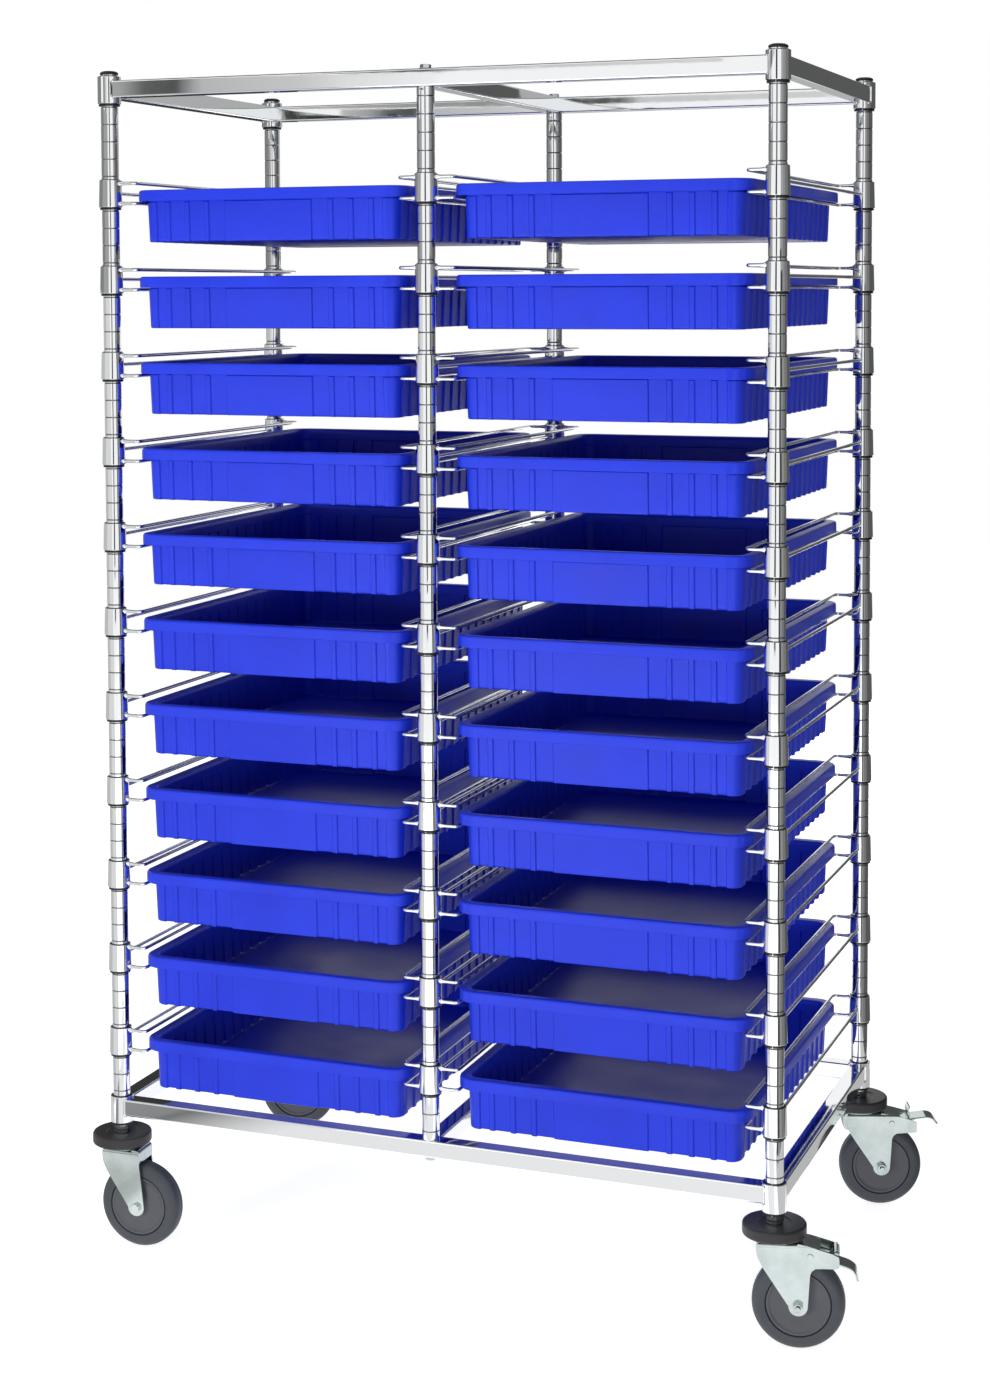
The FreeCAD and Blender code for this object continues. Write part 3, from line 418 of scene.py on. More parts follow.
def frame_tube(start, end, coped=True):
    """A square tube between two points at one height, coped to sleeves there or butted against tubes."""
    start, end = np.array(start), np.array(end)
    length = np.linalg.norm(end - start)
    run = (end - start) / length
    side = np.cross(run, (0, 0, 1))
    inset = cope(square[:, 0]) if coped else np.full(len(square), TUBE_HALF - 0.3)
    near = np.full(len(square), 40.0)
    along = np.stack([inset, near, length - near, length - inset])
    points = start + along[..., None] * run + square[:, :1] * side + square[:, 1:] * np.array([0, 0, 1])
    return grid(end_closed(points))


BEAD_STEPS = 72


def weld_bead(axis, run, height, seed):
    """A rippled bead round a tube's end: a small circle carried round the square, on the sleeve's wall."""
    steps = np.repeat(square, 3, axis=0) * 1.05
    steps = steps + np.random.default_rng(seed).normal(0, 0.12, steps.shape)
    across = np.clip(steps[:, 0], -14, 14)
    run = np.array([*run, 0.0])
    side = np.cross(run, (0, 0, 1))
    path = np.array([*axis, height]) + (cope(across) + 0.7)[:, None] * run + across[:, None] * side
    path[:, 2] += steps[:, 1]
    loop = np.linspace(0, 1, len(path), endpoint=False)
    evenly = np.linspace(0, 1, BEAD_STEPS, endpoint=False)
    spread = np.column_stack([np.interp(evenly, np.append(loop, 1), np.append(path[:, k], path[0, k]))
                              for k in range(3)])
    swell = 1.25 + 0.2 * np.sin(np.arange(BEAD_STEPS) * 2.1)[:, None]
    return grid(carry(circle(1.0, 6), spread, up=run, closed=True, stretch=swell), loop=True)


def sleeve_line(height, top_radius, foot_radius, bore):
    """A sleeve's wall as a closed line of radius against height, from its top downwards, with eased lips."""
    return soften([(bore, 0), (top_radius, 0), (foot_radius, -height), (bore, -height)],
                  [0.3, 0.9, 0.9, 0.3], steps=4, closed=True)


frame_sleeve = sleeve_line(COLLAR_HEIGHT, SLEEVE_RADIUS, SLEEVE_RADIUS, COLLAR_BORE)
frame_sleeve = grid(turn_about_z(frame_sleeve), loop=True)


def make_frame(node, tube_mid):
    """Four coped tubes, one across, four sleeves, and the beads that weld them."""
    x0, y0 = post_axis["front_left"]
    x1, y1 = post_axis["rear_right"]
    middle = post_axis["front_middle"][0]
    runs = [((x0, y0), (x1, y0)), ((x0, y1), (x1, y1)), ((x0, y0), (x0, y1)), ((x1, y0), (x1, y1))]
    surfaces = [frame_tube((*start, tube_mid), (*end, tube_mid)) for start, end in runs]
    surfaces.append(frame_tube((middle, y0, tube_mid), (middle, y1, tube_mid), coped=False))
    low, high = box_mm(node)[:, 2]
    sleeve_top = (low + high + COLLAR_HEIGHT) / 2 if node == "bottom_frame" else high
    surfaces += [moved(frame_sleeve, *post_axis[place], sleeve_top) for place in CORNERS.values()]
    for seed, (start, end) in enumerate(runs):
        run = (np.array(end) - start) / np.linalg.norm(np.array(end) - start)
        surfaces.append(weld_bead(start, run, tube_mid, seed))
        surfaces.append(weld_bead(end, -run, tube_mid, seed + 4))
    make_piece("welded_" + node, surfaces, chrome, "chrome", "root", node)


low, high = box_mm("post_front_middle")[:, 2]
make_frame("top_frame", high + TUBE_HALF)
make_frame("bottom_frame", low - TUBE_HALF)
print("tubes at", round(high + TUBE_HALF, 1), "and", round(low - TUBE_HALF, 1))

# %% [markdown]
# ## Bolts and nuts
# A hexagon head is not a plain prism: it is turned on a lathe first, so its corners are cut back by
# a cone. On a grid that is the smaller of two radii at every height, the hexagon's, which is the
# half width over the cosine of the angle from a flat's middle, and the cone's.

# %% Bolts through the frames
def hexagon_head(across_flats, height, sides=48):
    """A chamfered hexagon from z = 0 to its height: radius = min(hexagon, cone that eases its corners)."""
    angle = np.arange(sides) * 2 * np.pi / sides
    hexagon = across_flats / 2 / np.cos((angle + np.pi / 6) % (np.pi / 3) - np.pi / 6)
    levels = height * np.array([0, 0.7, 0.8, 0.9, 0.97, 1.0])
    cone = across_flats / 2 + (height - levels) * 1.6 - 0.3
    radius = np.minimum(hexagon, cone[:, None])
    upright = np.repeat(levels[:, None], sides, axis=1)
    return end_closed(np.stack([radius * np.cos(angle), radius * np.sin(angle), upright], axis=-1))


bolts = []
for post in ("front_middle", "rear_middle"):
    for flip, face in ((1, high + 2 * TUBE_HALF), (-1, low - 2 * TUBE_HALF)):
        head = hexagon_head(14, 6)
        washer = end_closed(turn_about_z(soften([(8.6, 0), (8.6, 1.2)], 0.3)))
        for shape, lift in ((washer, 0), (head * (1, 1, 0.8), 1.2)):
            points = shape * (1, 1, flip) + np.array([*post_axis[post], face + flip * lift])
            bolts.append(grid(points))
make_piece("frame_bolts", bolts, zinc, "zinc", "root", "middle_post_bolts", crease=25)
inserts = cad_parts["middle_post_inserts"]
inserts.data.materials.clear()
inserts.data.materials.append(zinc)

# %% [markdown]
# ## Wire slides
# On every level a collar grips each post, and bent wires run from the front collar to the rear one, two on
# each side that carries a bin. A wire could be a curve with a bevel. Here a circle is carried along
# the bent line, because it can then flatten where the wire is welded to its collar.

# %% Slides
LEVELS, LEVEL_PITCH = 11, 127.0
level_tops = box_mm("left_slides")[1, 2] - LEVEL_PITCH * np.arange(LEVELS)
depth = post_axis["rear_left"][1] - post_axis["front_left"][1]
WIRE = circle(2.5)
WIRE_DEPTHS = {"upper": 5.0, "lower": 34.5}
WIRE_START, WIRE_REACH, WIRE_BEND = 15.2, 42.0, 8.0
ROD_START, ROD_DEPTH = 15.5, 19.0
collar = grid(turn_about_z(sleeve_line(COLLAR_HEIGHT, 16.0, 17.0, COLLAR_BORE)), loop=True)


def weld_flare(distance):
    """Section scale near a weld: 0.8 across and 1.7 high at the collar, back to round 9 mm further on."""
    nearness = np.clip(1 - distance / 9, 0, 1)[:, None] ** 2
    return 1 + nearness * np.array([-0.2, 0.7])


def slide_wire(side, height):
    """A wire from collar to collar: out by 42 mm, round an 8 mm bend, along the bay and back in."""
    bends = soften([(24, 0), (WIRE_REACH, 0), (WIRE_REACH, depth), (24, depth)],
                   [0, WIRE_BEND, WIRE_BEND, 0], steps=7)
    line = np.vstack([[(WIRE_START, 0), (19, 0)], bends, [(19, depth), (WIRE_START, depth)]])
    path = np.column_stack([line[:, 0] * side, line[:, 1], np.full(len(line), -height)])
    return grid(end_closed(carry(WIRE, path, stretch=weld_flare(line[:, 0] - WIRE_START))))


def tie_rod():
    """A straight rod between a level's two collars, a little above their middle."""
    near = np.array([ROD_START, 19, 25, 40])
    along = np.concatenate([near, depth - near[::-1]])
    path = np.column_stack([np.zeros(len(along)), along, np.full(len(along), -ROD_DEPTH)])
    from_end = np.minimum(along, depth - along) - ROD_START
    return grid(end_closed(carry(WIRE, path, stretch=weld_flare(from_end))))


for row, sides in {"left": (1,), "middle": (-1, 1), "right": (-1,)}.items():
    front = post_axis["front_" + row]
    level = [collar, moved(collar, 0, depth, 0), tie_rod()]
    level += [slide_wire(side, height) for side in sides for height in WIRE_DEPTHS.values()]
    surfaces = [moved(surface, *front, top) for top in level_tops for surface in level]
    make_piece("wire_slides_" + row, surfaces, chrome, "chrome", "root", row + "_slides")

# %% [markdown]
# ## Split sleeves
# Between every collar and its post sits a tapered plastic sleeve in two halves, seen as a black ring
# under the collar and a thin line above it. A half is its wall's section carried along half a circle,
# which leaves the slit between the halves open, as on the real one.

# %% Sleeves
half_turn = np.radians(np.linspace(93.5, 266.5, 17))
sleeve_wall = soften([(12.75, 1.0), (14.4, 1.0), (14.6, -40), (15.6, -41), (15.6, -43.5), (12.75, -43.5)],
                     [0.2, 0.5, 0.2, 0.6, 0.6, 0.2], steps=3, closed=True)
half_ring = np.column_stack([np.cos(half_turn), np.sin(half_turn), np.zeros(len(half_turn))])
half_sleeve = half_ring[:, None] * sleeve_wall[None, :, :1] + np.array([0, 0, 1]) * sleeve_wall[None, :, 1:]
half_sleeve = grid(end_closed(half_sleeve))
frame_tops = [box_mm("top_frame")[1, 2], box_mm("bottom_frame")[:, 2].mean() + COLLAR_HEIGHT / 2]
sleeves = []
for post, axis in post_axis.items():
    tops = level_tops if "middle" in post else np.append(level_tops, frame_tops)
    sleeves += [moved(turned(half_sleeve, side), *axis, top) for top in tops for side in (0, 180)]
make_piece("split_sleeve_halves", sleeves, dark["black_nylon"], "black_plastic", "root", "split_sleeves")

# %% [markdown]
# ## Bins
# A bin is one moulding of even wall: a floor, walls with raised strips that are slots for dividers inside,
# and a wide rim that turns down. It could be boxes with bevels, but one surface says more: go once round
# the wall for the columns, and for the rows go up the inside, over the rim and down the outside. A row is
# an offset from the wall, a height, and how much of the strip's height shows there.

# %% The wall's outline
WALL_HALF = np.array([201.0, 263.0])
WALL_CORNER = 17.0
STRIP_RISE = 2.0
FLANK = 1.6


def side_columns(strips, straight_half, corner_strip):
    """Places along one side and the share of the strip's rise there: 0 1 1 0 over every strip."""
    strips = np.asarray(strips, float)
    offsets = np.array([-FLANK, FLANK, -FLANK, FLANK]) / 2
    places = (strips[:, [0, 0, 1, 1]] + offsets).ravel()
    raised = np.tile([0.0, 1.0, 1.0, 0.0], len(strips))
    end = np.array([corner_strip - FLANK / 2, corner_strip + FLANK / 2, straight_half])
    places = np.concatenate([-end[::-1], places, end])
    return places, np.concatenate([[1.0, 1.0, 0.0], raised, [0.0, 1.0, 1.0]])


STRIP_PITCH = 31.75
STRIP_EDGES = np.array([-4.0, 4.0])
right_strips = 99.5 + STRIP_PITCH * np.arange(3)[:, None]
front_strips = np.vstack([-right_strips[::-1] + STRIP_EDGES, [(-69.5, 69.5)], right_strips + STRIP_EDGES])
side_strips = STRIP_PITCH * (np.arange(16) - 7.5)[:, None] + STRIP_EDGES


def wall_outline():
    """Go round the wall: a point, a direction out of the wall and a share of the rise for each column."""
    points, outs, shares = [], [], []
    for quarter in range(4):
        half_along, half_out = WALL_HALF if quarter % 2 == 0 else WALL_HALF[::-1]
        turn = np.pi / 2 * quarter
        along, out = np.array([np.cos(turn), np.sin(turn)]), np.array([np.sin(turn), -np.cos(turn)])
        strips, corner_strip = (front_strips, 181.0) if quarter % 2 == 0 else (side_strips, 244.6)
        places, raised = side_columns(strips, half_along - WALL_CORNER, corner_strip)
        sweep = np.linspace(0, np.pi / 2, 10)[1:-1, None]
        round_out = out * np.cos(sweep) + along * np.sin(sweep)
        centre = along * (half_along - WALL_CORNER) + out * (half_out - WALL_CORNER)
        points += [places[:, None] * along + out * half_out, centre + WALL_CORNER * round_out]
        outs += [np.broadcast_to(out, (len(places), 2)), round_out]
        shares += [raised, np.ones(len(sweep))]
    return np.vstack(points), np.vstack(outs), np.concatenate(shares)


wall_points, wall_outs, wall_shares = wall_outline()
print("one bin has", len(wall_points), "columns")

# %% Bin surface
# Offset from the wall, height above the foot, share of the strip's rise. The walls lean in by 2.5 mm.
bin_rows = np.array([
    # Floor and its fillet
    (-13.0, 3.0, 0.0), (-8.0, 3.0, 0.0), (-6.0, 3.5, 0.0), (-5.2, 5.0, 0.4), (-5.0, 7.0, 1.0),
    # Inside of the wall
    (-2.6, 57.5, 1.0), (-2.5, 59.0, 0.0), (-2.4, 69.5, 0.0),
    # Over the rim
    (-1.9, 73.2, 0.0), (-0.6, 75.4, 0.0), (1.6, 76.2, 0.0), (10.8, 76.2, 0.0),
    (12.8, 75.8, 0.0), (14.2, 74.7, 0.0), (14.9, 72.8, 0.0),
    # Skirt
    (15.0, 61.2, 0.0), (14.7, 60.1, 0.0), (13.9, 59.7, 0.0), (12.9, 59.7, 0.0), (12.5, 60.2, 0.0),
    # Under the rim
    (12.2, 72.6, 0.0), (11.4, 73.7, 0.0), (1.2, 73.7, 0.0), (0.1, 72.6, 0.0),
    # Outside of the wall
    (0.0, 59.2, 0.0), (-0.1, 57.8, 1.0), (-2.3, 4.2, 1.0),
    # Foot
    (-2.8, 2.1, 1.15), (-3.9, 0.7, 1.55), (-5.6, 0.0, 1.9),
    (-9.5, 0.0, 0.0), (-11.0, 0.9, 0.0), (-14.0, 0.9, 0.0),
])


def bin_surface():
    """Point = wall point + out * (offset + row's share * column's share * rise), at the row's height."""
    offset = bin_rows[:, :1] + STRIP_RISE * bin_rows[:, 2:] * wall_shares
    flat = wall_points + wall_outs * offset[..., None]
    upright = np.repeat(bin_rows[:, 1:2], len(wall_points), axis=1)
    return grid(end_closed(np.concatenate([flat, upright[..., None]], axis=-1)))


one_bin = bin_surface()
for bay in ("left", "right"):
    for level in range(1, LEVELS + 1):
        node = f"bin_{bay}_{level:02d}"
        low, high = box_mm(node)
        x, y = (low + high)[:2] / 2
        make_piece("moulded_" + node, [moved(one_bin, x, y, low[2])], blue_plastic, "blue_plastic",
                   node, node)

# %% [markdown]
# ## Bumpers and swivel stems
# Each corner post stands on a thick rubber ring that keeps the cart off the wall, and under that is the
# plated race of the swivel. Both are turned shapes, so a line of radius against height is enough.

# %% Bumpers and stems
bumper_foot, bumper_top = box_mm("bumpers")[:, 2]
thick = bumper_top - bumper_foot
bumper_line = soften([(11.1, 0), (44, 0), (44, thick), (23.5, thick), (22.3, thick - 1.2),
                      (11.1, thick - 1.2)], [0.2, 3.2, 3.8, 0.6, 0.6, 0.2], steps=7, closed=True)
bumper = grid(turn_about_z(bumper_line, 72), loop=True)
bumpers = [moved(bumper, *post_axis[place], bumper_foot) for place in CORNERS.values()]
make_piece("ring_bumpers", bumpers, dark["bumper_rubber"], "bumper_rubber", "root", "bumpers")

RACE_FOOT = 150.4
race_line = soften([(0, 143.2), (9.5, 143.2), (9.5, 146.4), (6, 146.4), (6, RACE_FOOT), (27.6, RACE_FOOT),
                    (29, RACE_FOOT + 1.6), (28.4, RACE_FOOT + 3.2), (26.5, bumper_foot - 0.2),
                    (11, bumper_foot - 0.2), (11, 238), (0, 238)],
                   [0, 1, 0.5, 0, 0, 0.8, 1.0, 1.0, 1.2, 0.3, 1, 0], steps=4)
race = grid(turn_about_z(race_line, 60))
stems = [moved(race, *post_axis[place], 0) for place in CORNERS.values()]
make_piece("swivel_stems", stems, zinc, "zinc", "root", "caster_stems")

# %% [markdown]
# ## Casters
# A caster's fork is pressed from sheet: two cheeks that narrow down to the axle, bent over at the top into a
# web that the swivel bears on. The sheet is a grid. Its rows go up one cheek, over the bend and down the
# other, and its columns go from the front edge to the rear edge at that height. Solidify gives it its gauge.

# %% Fork sheet
AXLE = np.array([33.0, 63.5])      # behind the swivel and above the floor
EYE = 13.0                         # round end of a cheek
FORK_HALF, FORK_FRONT, FORK_TOP, BEND = 22.5, -23.0, 150.0, 6.0
LEAN, SHOULDER = 0.68, 3.5         # slant of a cheek's front edge, and how softly it turns upright
CROWN_FOOT, CROWN_BACK = 141.0, 3.5    # where the crown starts to round, and how far back it goes
SHEET = 3.0
SHEET_COLUMNS = 14


def front_edge(z):
    """Front of a cheek: upright with a rounded crown, then a slant to the eye, then round it.

    The soft turn between them is crown + shoulder * log(1 + exp((slant - crown) / shoulder)).
    """
    slant = AXLE[0] - EYE - LEAN * (z - AXLE[1])
    crown = FORK_FRONT + CROWN_BACK * np.clip((z - CROWN_FOOT) / (FORK_TOP - CROWN_FOOT), 0, 1) ** 2
    around = AXLE[0] - np.sqrt(np.clip(EYE ** 2 - (z - AXLE[1]) ** 2, 0, None))
    return np.where(z < AXLE[1], around, crown + SHOULDER * np.log1p(np.exp((slant - crown) / SHOULDER)))


def rear_edge(z, braked):
    """Rear of a cheek: round the eye, then up to 36 mm behind, or out to an arm for the brake."""
    around = AXLE[0] + np.sqrt(np.clip(EYE ** 2 - (z - AXLE[1]) ** 2, 0, None))
    plain = np.interp(z, [AXLE[1], FORK_TOP], [AXLE[0] + EYE, 36])
    arm = np.interp(z, [AXLE[1], 108, 113, 117, 117.8, 118.4, 120, 134, 137, FORK_TOP],
                    [AXLE[0] + EYE, 49, 51, 56, 66, 84, 88, 88, 85, 36])
    return np.where(z < AXLE[1], around, arm if braked else plain)


def fork_sheet(braked):
    """Point = (between the edges by the column's share, the section's y, the section's z)."""
    eye = AXLE[1] - EYE * np.cos(np.linspace(0, np.pi / 2, 9))
    arm_foot = np.array([108, 113, 117, 117.8, 118.4, 120])
    straight = np.concatenate([eye, np.linspace(70, 106, 4), arm_foot, np.linspace(126, 143, 5)])
    bend = np.linspace(0, np.pi / 2, 7)
    z = np.concatenate([straight, FORK_TOP - BEND + BEND * np.sin(bend), [FORK_TOP]])
    y = np.concatenate([np.full(len(straight), FORK_HALF), FORK_HALF - BEND + BEND * np.cos(bend), [0.0]])
    z, y = np.concatenate([z, z[-2::-1]]), np.concatenate([-y, y[-2::-1]])
    share = np.linspace(0, 1, SHEET_COLUMNS)
    x = front_edge(z)[:, None] * (1 - share) + rear_edge(z, braked)[:, None] * share
    y, z = [np.repeat(line[:, None], SHEET_COLUMNS, axis=1) for line in (y, z)]
    return grid(np.stack([x, y, z], axis=-1), ring=False)


def bent_strip(line, half_width, thickness):
    """A flat strip of that width carried along a line of (x, z), with eased edges."""
    line = np.asarray(line, float)
    path = np.column_stack([line[:, 0], np.zeros(len(line)), line[:, 1]])
    edge = soften([(-thickness / 2, -half_width), (thickness / 2, -half_width), (thickness / 2, half_width),
                   (-thickness / 2, half_width)], thickness * 0.4, steps=3, closed=True)
    return grid(end_closed(carry(edge, path, up=(0, 1, 0))))


NOSE_FOOT, NOSE_TUCK, NOSE_BOW = 124.0, 1.4, 4.0


def nose_sheet():
    """The fork's curved front, from cheek to cheek and from the web down to its foot.

    Point = (front edge + tuck - bow * square root of cos a, half width * sin a, height).
    """
    z = np.linspace(NOSE_FOOT, FORK_TOP - SHEET / 2, 8)
    around = np.radians(np.linspace(-90, 90, 15))
    bow = NOSE_BOW * np.sqrt(np.clip(np.cos(around), 0, None))
    x = front_edge(z)[:, None] + NOSE_TUCK - bow
    y = np.repeat((FORK_HALF - SHEET / 2) * np.sin(around)[None], len(z), 0)
    return grid(np.stack([x, y, np.repeat(z[:, None], len(around), 1)], axis=-1), ring=False)


BRAKED = ("fr", "rr")
TURN = {}
for corner, place in CORNERS.items():
    hub_low, hub_high = box_mm("hub_" + corner)
    trail = ((hub_low + hub_high) / 2)[:2] - post_axis[place]
    TURN[corner] = float(np.degrees(np.arctan2(trail[1], trail[0])))
print("casters turned by", {corner: round(turn, 1) for corner, turn in TURN.items()})


def at_caster(surfaces, corner):
    """Surfaces about a caster's swivel, turned to its trail and put under its post."""
    return [moved(turned(surface, TURN[corner]), *post_axis[CORNERS[corner]], 0) for surface in surfaces]


# Side views of the web behind the swivel: it runs out to the brake, or turns down as a hood.
BRAKED_TAIL = [(32, 148.4), (36, 148.2), (62, 141.2)]
PLAIN_TAIL = [(26, 148.5), (33, 148.5), (37, 147.4), (37.4, 143), (37.6, 131)]
for corner in CORNERS:
    braked = corner in BRAKED
    sheet = [fork_sheet(braked), nose_sheet()]
    make_piece("fork_sheet_" + corner, at_caster(sheet, corner), zinc, "zinc", "swivel_" + corner,
               "fork_" + corner, wall=SHEET, edge=0.7)
    web = bent_strip(soften(BRAKED_TAIL if braked else PLAIN_TAIL, 3), FORK_HALF - 0.6, SHEET)
    make_piece("fork_web_" + corner, at_caster([web], corner), zinc, "zinc", "swivel_" + corner,
               "fork_" + corner)

# %% Axles
# A bolt through both cheeks with its head on one side, and a nut with a few threads showing on the other.
def axle_pieces():
    """The head, the shank, the nut and the washers along y, about the wheel's middle."""
    head = hexagon_head(13, 5.3) + np.array([0, 0, FORK_HALF])
    nut = hexagon_head(13, 7.0) * (1, 1, -1) - np.array([0, 0, FORK_HALF + 1])
    washer = end_closed(turn_about_z(soften([(8.4, -FORK_HALF - 1.2), (8.4, -FORK_HALF)], 0.3)))
    turns = np.arange(9)
    thread = np.column_stack([np.where(turns % 2 == 0, 3.6, 4.0), -FORK_HALF - 7 - turns * 0.5])
    shank = np.vstack([[(4.0, FORK_HALF)], thread, [(3.2, thread[-1, 1] - 0.3)]])
    upright = [head, nut, washer, end_closed(turn_about_z(shank, 24))]
    return [grid(shape[..., [0, 2, 1]] * (1, -1, 1) + np.array([AXLE[0], 0, AXLE[1]])) for shape in upright]


for corner in CORNERS:
    pieces = axle_pieces()
    if corner in BRAKED:
        pieces = [(points * (1, -1, 1), quads) for points, quads in pieces]
    make_piece("axle_bolt_" + corner, at_caster(pieces, corner), zinc, "zinc", "swivel_" + corner,
               "axle_" + corner, crease=25)

# %% [markdown]
# ## Wheels
# The wheel is a grey rubber tyre bonded on a moulded centre. Both are turned about the axle, so their
# lines are drawn as radius against width, and the turned shape is laid on its side. A fine groove between
# them draws the dark ring that the photograph shows.

# %% Tyres and hubs
tyre_line = soften([(45.0, -14.5), (45.6, -16), (56, -15.6), (63.5, -9), (63.5, 9), (56, 15.6), (45.6, 16),
                    (45.0, 14.5)], [0.2, 0.5, 4, 7, 7, 4, 0.5, 0.2], closed=True)
hub_half = soften([(4.1, 19.0), (10.5, 19.0), (12, 17), (13.5, 14.2), (19, 13.2), (38, 13.4), (41, 15.3),
                   (43.6, 15.3), (44.0, 12.0), (45.0, 11.5)], [0.2, 1, 1, 2, 2, 2, 0.8, 0.5, 0.2, 0])
hub_line = np.vstack([hub_half, hub_half[::-1] * (1, -1)])


def on_axle(line, sides=96):
    """A turned shape laid with its axis along y, at the wheel's middle."""
    shape = turn_about_z(line, sides)
    return grid(shape[..., [0, 2, 1]] + np.array([AXLE[0], 0, AXLE[1]]), loop=True)


for corner in CORNERS:
    make_piece("tyre_ring_" + corner, at_caster([on_axle(tyre_line)], corner), dark["grey_tread_rubber"],
               "tread_rubber", "wheel_" + corner, "tyre_" + corner, crease=60)
    make_piece("wheel_centre_" + corner, at_caster([on_axle(hub_line)], corner), dark["wheel_polypropylene"],
               "wheel_plastic", "wheel_" + corner, "hub_" + corner, crease=40)

# %% [markdown]
# ## Brakes
# The right-hand casters have a tread lever on a pin behind the swivel. Pressed down it locks the wheel, and
# a small tab that stands up from it lets it go. The lever is a strip of plate carried along its bent line.

# %% Brake levers
PIVOT = np.array([49.0, 133.0])
LOCKED_TILT = -17.0
LEVER_TILT = {"fr": LOCKED_TILT, "rr": 8.0}


def brake_lever(tilt):
    """The strip, the tab, the eye round the pin and the cam, drawn level and tilted about the pin."""
    plate = soften([(4, 0), (55, 0), (64, -3), (70.5, -13)], [0, 6, 7, 0], steps=6)
    tab = soften([(26, 1.0), (28.5, 3), (28.5, 14), (31.5, 18.6)], [0, 1.5, 4, 0])
    strips = [bent_strip(plate, 15, 3.0), bent_strip(tab, 14, 2.6)]
    eye = turn_about_z(soften([(3.2, -15), (5.5, -15), (5.5, 15), (3.2, 15)], 0.8, closed=True), 32)
    strips.append(grid(eye[..., [0, 2, 1]], loop=True))
    cam_turn = np.radians(LOCKED_TILT) + np.arctan2(PIVOT[0] - AXLE[0], PIVOT[1] - AXLE[1])
    cam_way = np.array([-np.sin(cam_turn), -np.cos(cam_turn)])
    strips.append(bent_strip(np.outer([4.0, 6.0, 7.0], cam_way), 15, 6.0))
    c, s = np.cos(np.radians(tilt)), np.sin(np.radians(tilt))
    swing = np.array([[c, 0, s], [0, 1, 0], [-s, 0, c]])
    return [(points @ swing + np.array([PIVOT[0], 0, PIVOT[1]]), quads) for points, quads in strips]


pin_line = soften([(0, -24), (4.5, -24), (4.5, -22.6), (3, -22.6), (3, 22.6), (4.5, 22.6), (4.5, 24),
                   (0, 24)], [0, 1.2, 0.2, 0, 0, 0.2, 1.2, 0])
pin = turn_about_z(pin_line, 32)[..., [0, 2, 1]] + np.array([PIVOT[0], 0, PIVOT[1]])
for corner, tilt in LEVER_TILT.items():
    make_piece("brake_lever_" + corner, at_caster(brake_lever(tilt), corner), zinc, "zinc",
               "brake_" + corner, "brake_pedal_" + corner)
    make_piece("brake_rivet_" + corner, at_caster([grid(pin)], corner), zinc, "zinc", "swivel_" + corner,
               "brake_pin_" + corner)

# %% [markdown]
# ## The studio
# The photograph is a cut-out on white, lit softly from the front. Its chrome still shows the room: white in
# front and to the left, grey to the right and behind. A pale floor catches the shadow, the world is white
# where the camera or a mirror looks at it, and grey walls around the cart stand only in the mirrors.

# %% Floor and world
floor_mesh = bpy.data.meshes.new("floor")
span = np.array([[-9, -9], [9, -9], [9, 9], [-9, 9]], float)
floor_mesh.from_pydata(np.column_stack([span, np.full(4, -0.0005)]).tolist(), [], [(0, 1, 2, 3)])
floor = bpy.data.objects.new("floor", floor_mesh)
bpy.context.scene.collection.objects.link(floor)
paper, tree, shader, _ = new_finish("white_paper", Base_Color=linear("#e6e6e6"), Roughness=0.9)
light_path = add(tree, "LightPath")
seen = add(tree, "Math", operation="MAXIMUM",
           links={0: light_path.outputs["Is Camera Ray"], 1: light_path.outputs["Is Glossy Ray"]})
# The glow makes paper that is fully lit just white to the eye, and leaves the shadow on it.
glow_level = add(tree, "Math", {1: 0.76}, {0: seen.outputs[0]}, operation="MULTIPLY")
glow = add(tree, "Emission", {"Color": (1, 1, 1, 1)}, {"Strength": glow_level.outputs[0]})
lit = add(tree, "AddShader", links={0: shader.outputs[0], 1: glow.outputs[0]})
tree.links.new(lit.outputs[0], tree.nodes["Material Output"].inputs["Surface"])
floor_mesh.materials.append(paper)

world = bpy.data.worlds.new("studio")
world.use_nodes = True
tree = world.node_tree
light_path = add(tree, "LightPath")
mirrored = add(tree, "Math", operation="MAXIMUM",
               links={0: light_path.outputs["Is Glossy Ray"], 1: light_path.outputs["Is Transmission Ray"]})
seen = add(tree, "Math", operation="MAXIMUM",
           links={0: light_path.outputs["Is Camera Ray"], 1: mirrored.outputs[0]})
strength = add(tree, "MapRange", {"To Min": 0.25, "To Max": 1.0}, {"Value": seen.outputs[0]})
tree.nodes["Background"].inputs["Color"].default_value = (1, 1, 1, 1)
tree.links.new(strength.outputs["Result"], tree.nodes["Background"].inputs["Strength"])
bpy.context.scene.world = world

# %% Walls that only mirrors see
# Two directions in degrees (0 right, 90 behind, -90 in front), foot and top in metres, brightness.
WALLS = {
    "left_low": (-204, -150, 0.0, 1.45, 0.55),
    "left_high": (-204, -150, 1.45, 2.6, 0.24),
    "left_front_low": (-150, -116, 0.0, 1.45, 0.75),
    "left_front_high": (-150, -116, 1.45, 1.76, 0.38),
    "right_front_low": (-42, -31, 0.0, 1.5, 0.06),
    "right_front_high": (-42, -31, 1.5, 2.6, 0.4),
    "right": (-31, -18, 0.0, 2.6, 0.3),
    "right_middle": (-18, 5, 0.0, 2.6, 0.2),
    "right_rear": (5, 72, 0.0, 2.6, 0.1),
    "rear_low": (98, 131, 1.38, 1.53, 0.04),
    "rear_high": (98, 131, 1.53, 2.6, 0.42),
    "rear_right_high": (72, 98, 1.5, 2.6, 0.45),
    "left_rear": (131, 156, 0.0, 2.6, 0.04),
}
WALL_RADIUS, WALL_COLUMNS = 1.25, 13
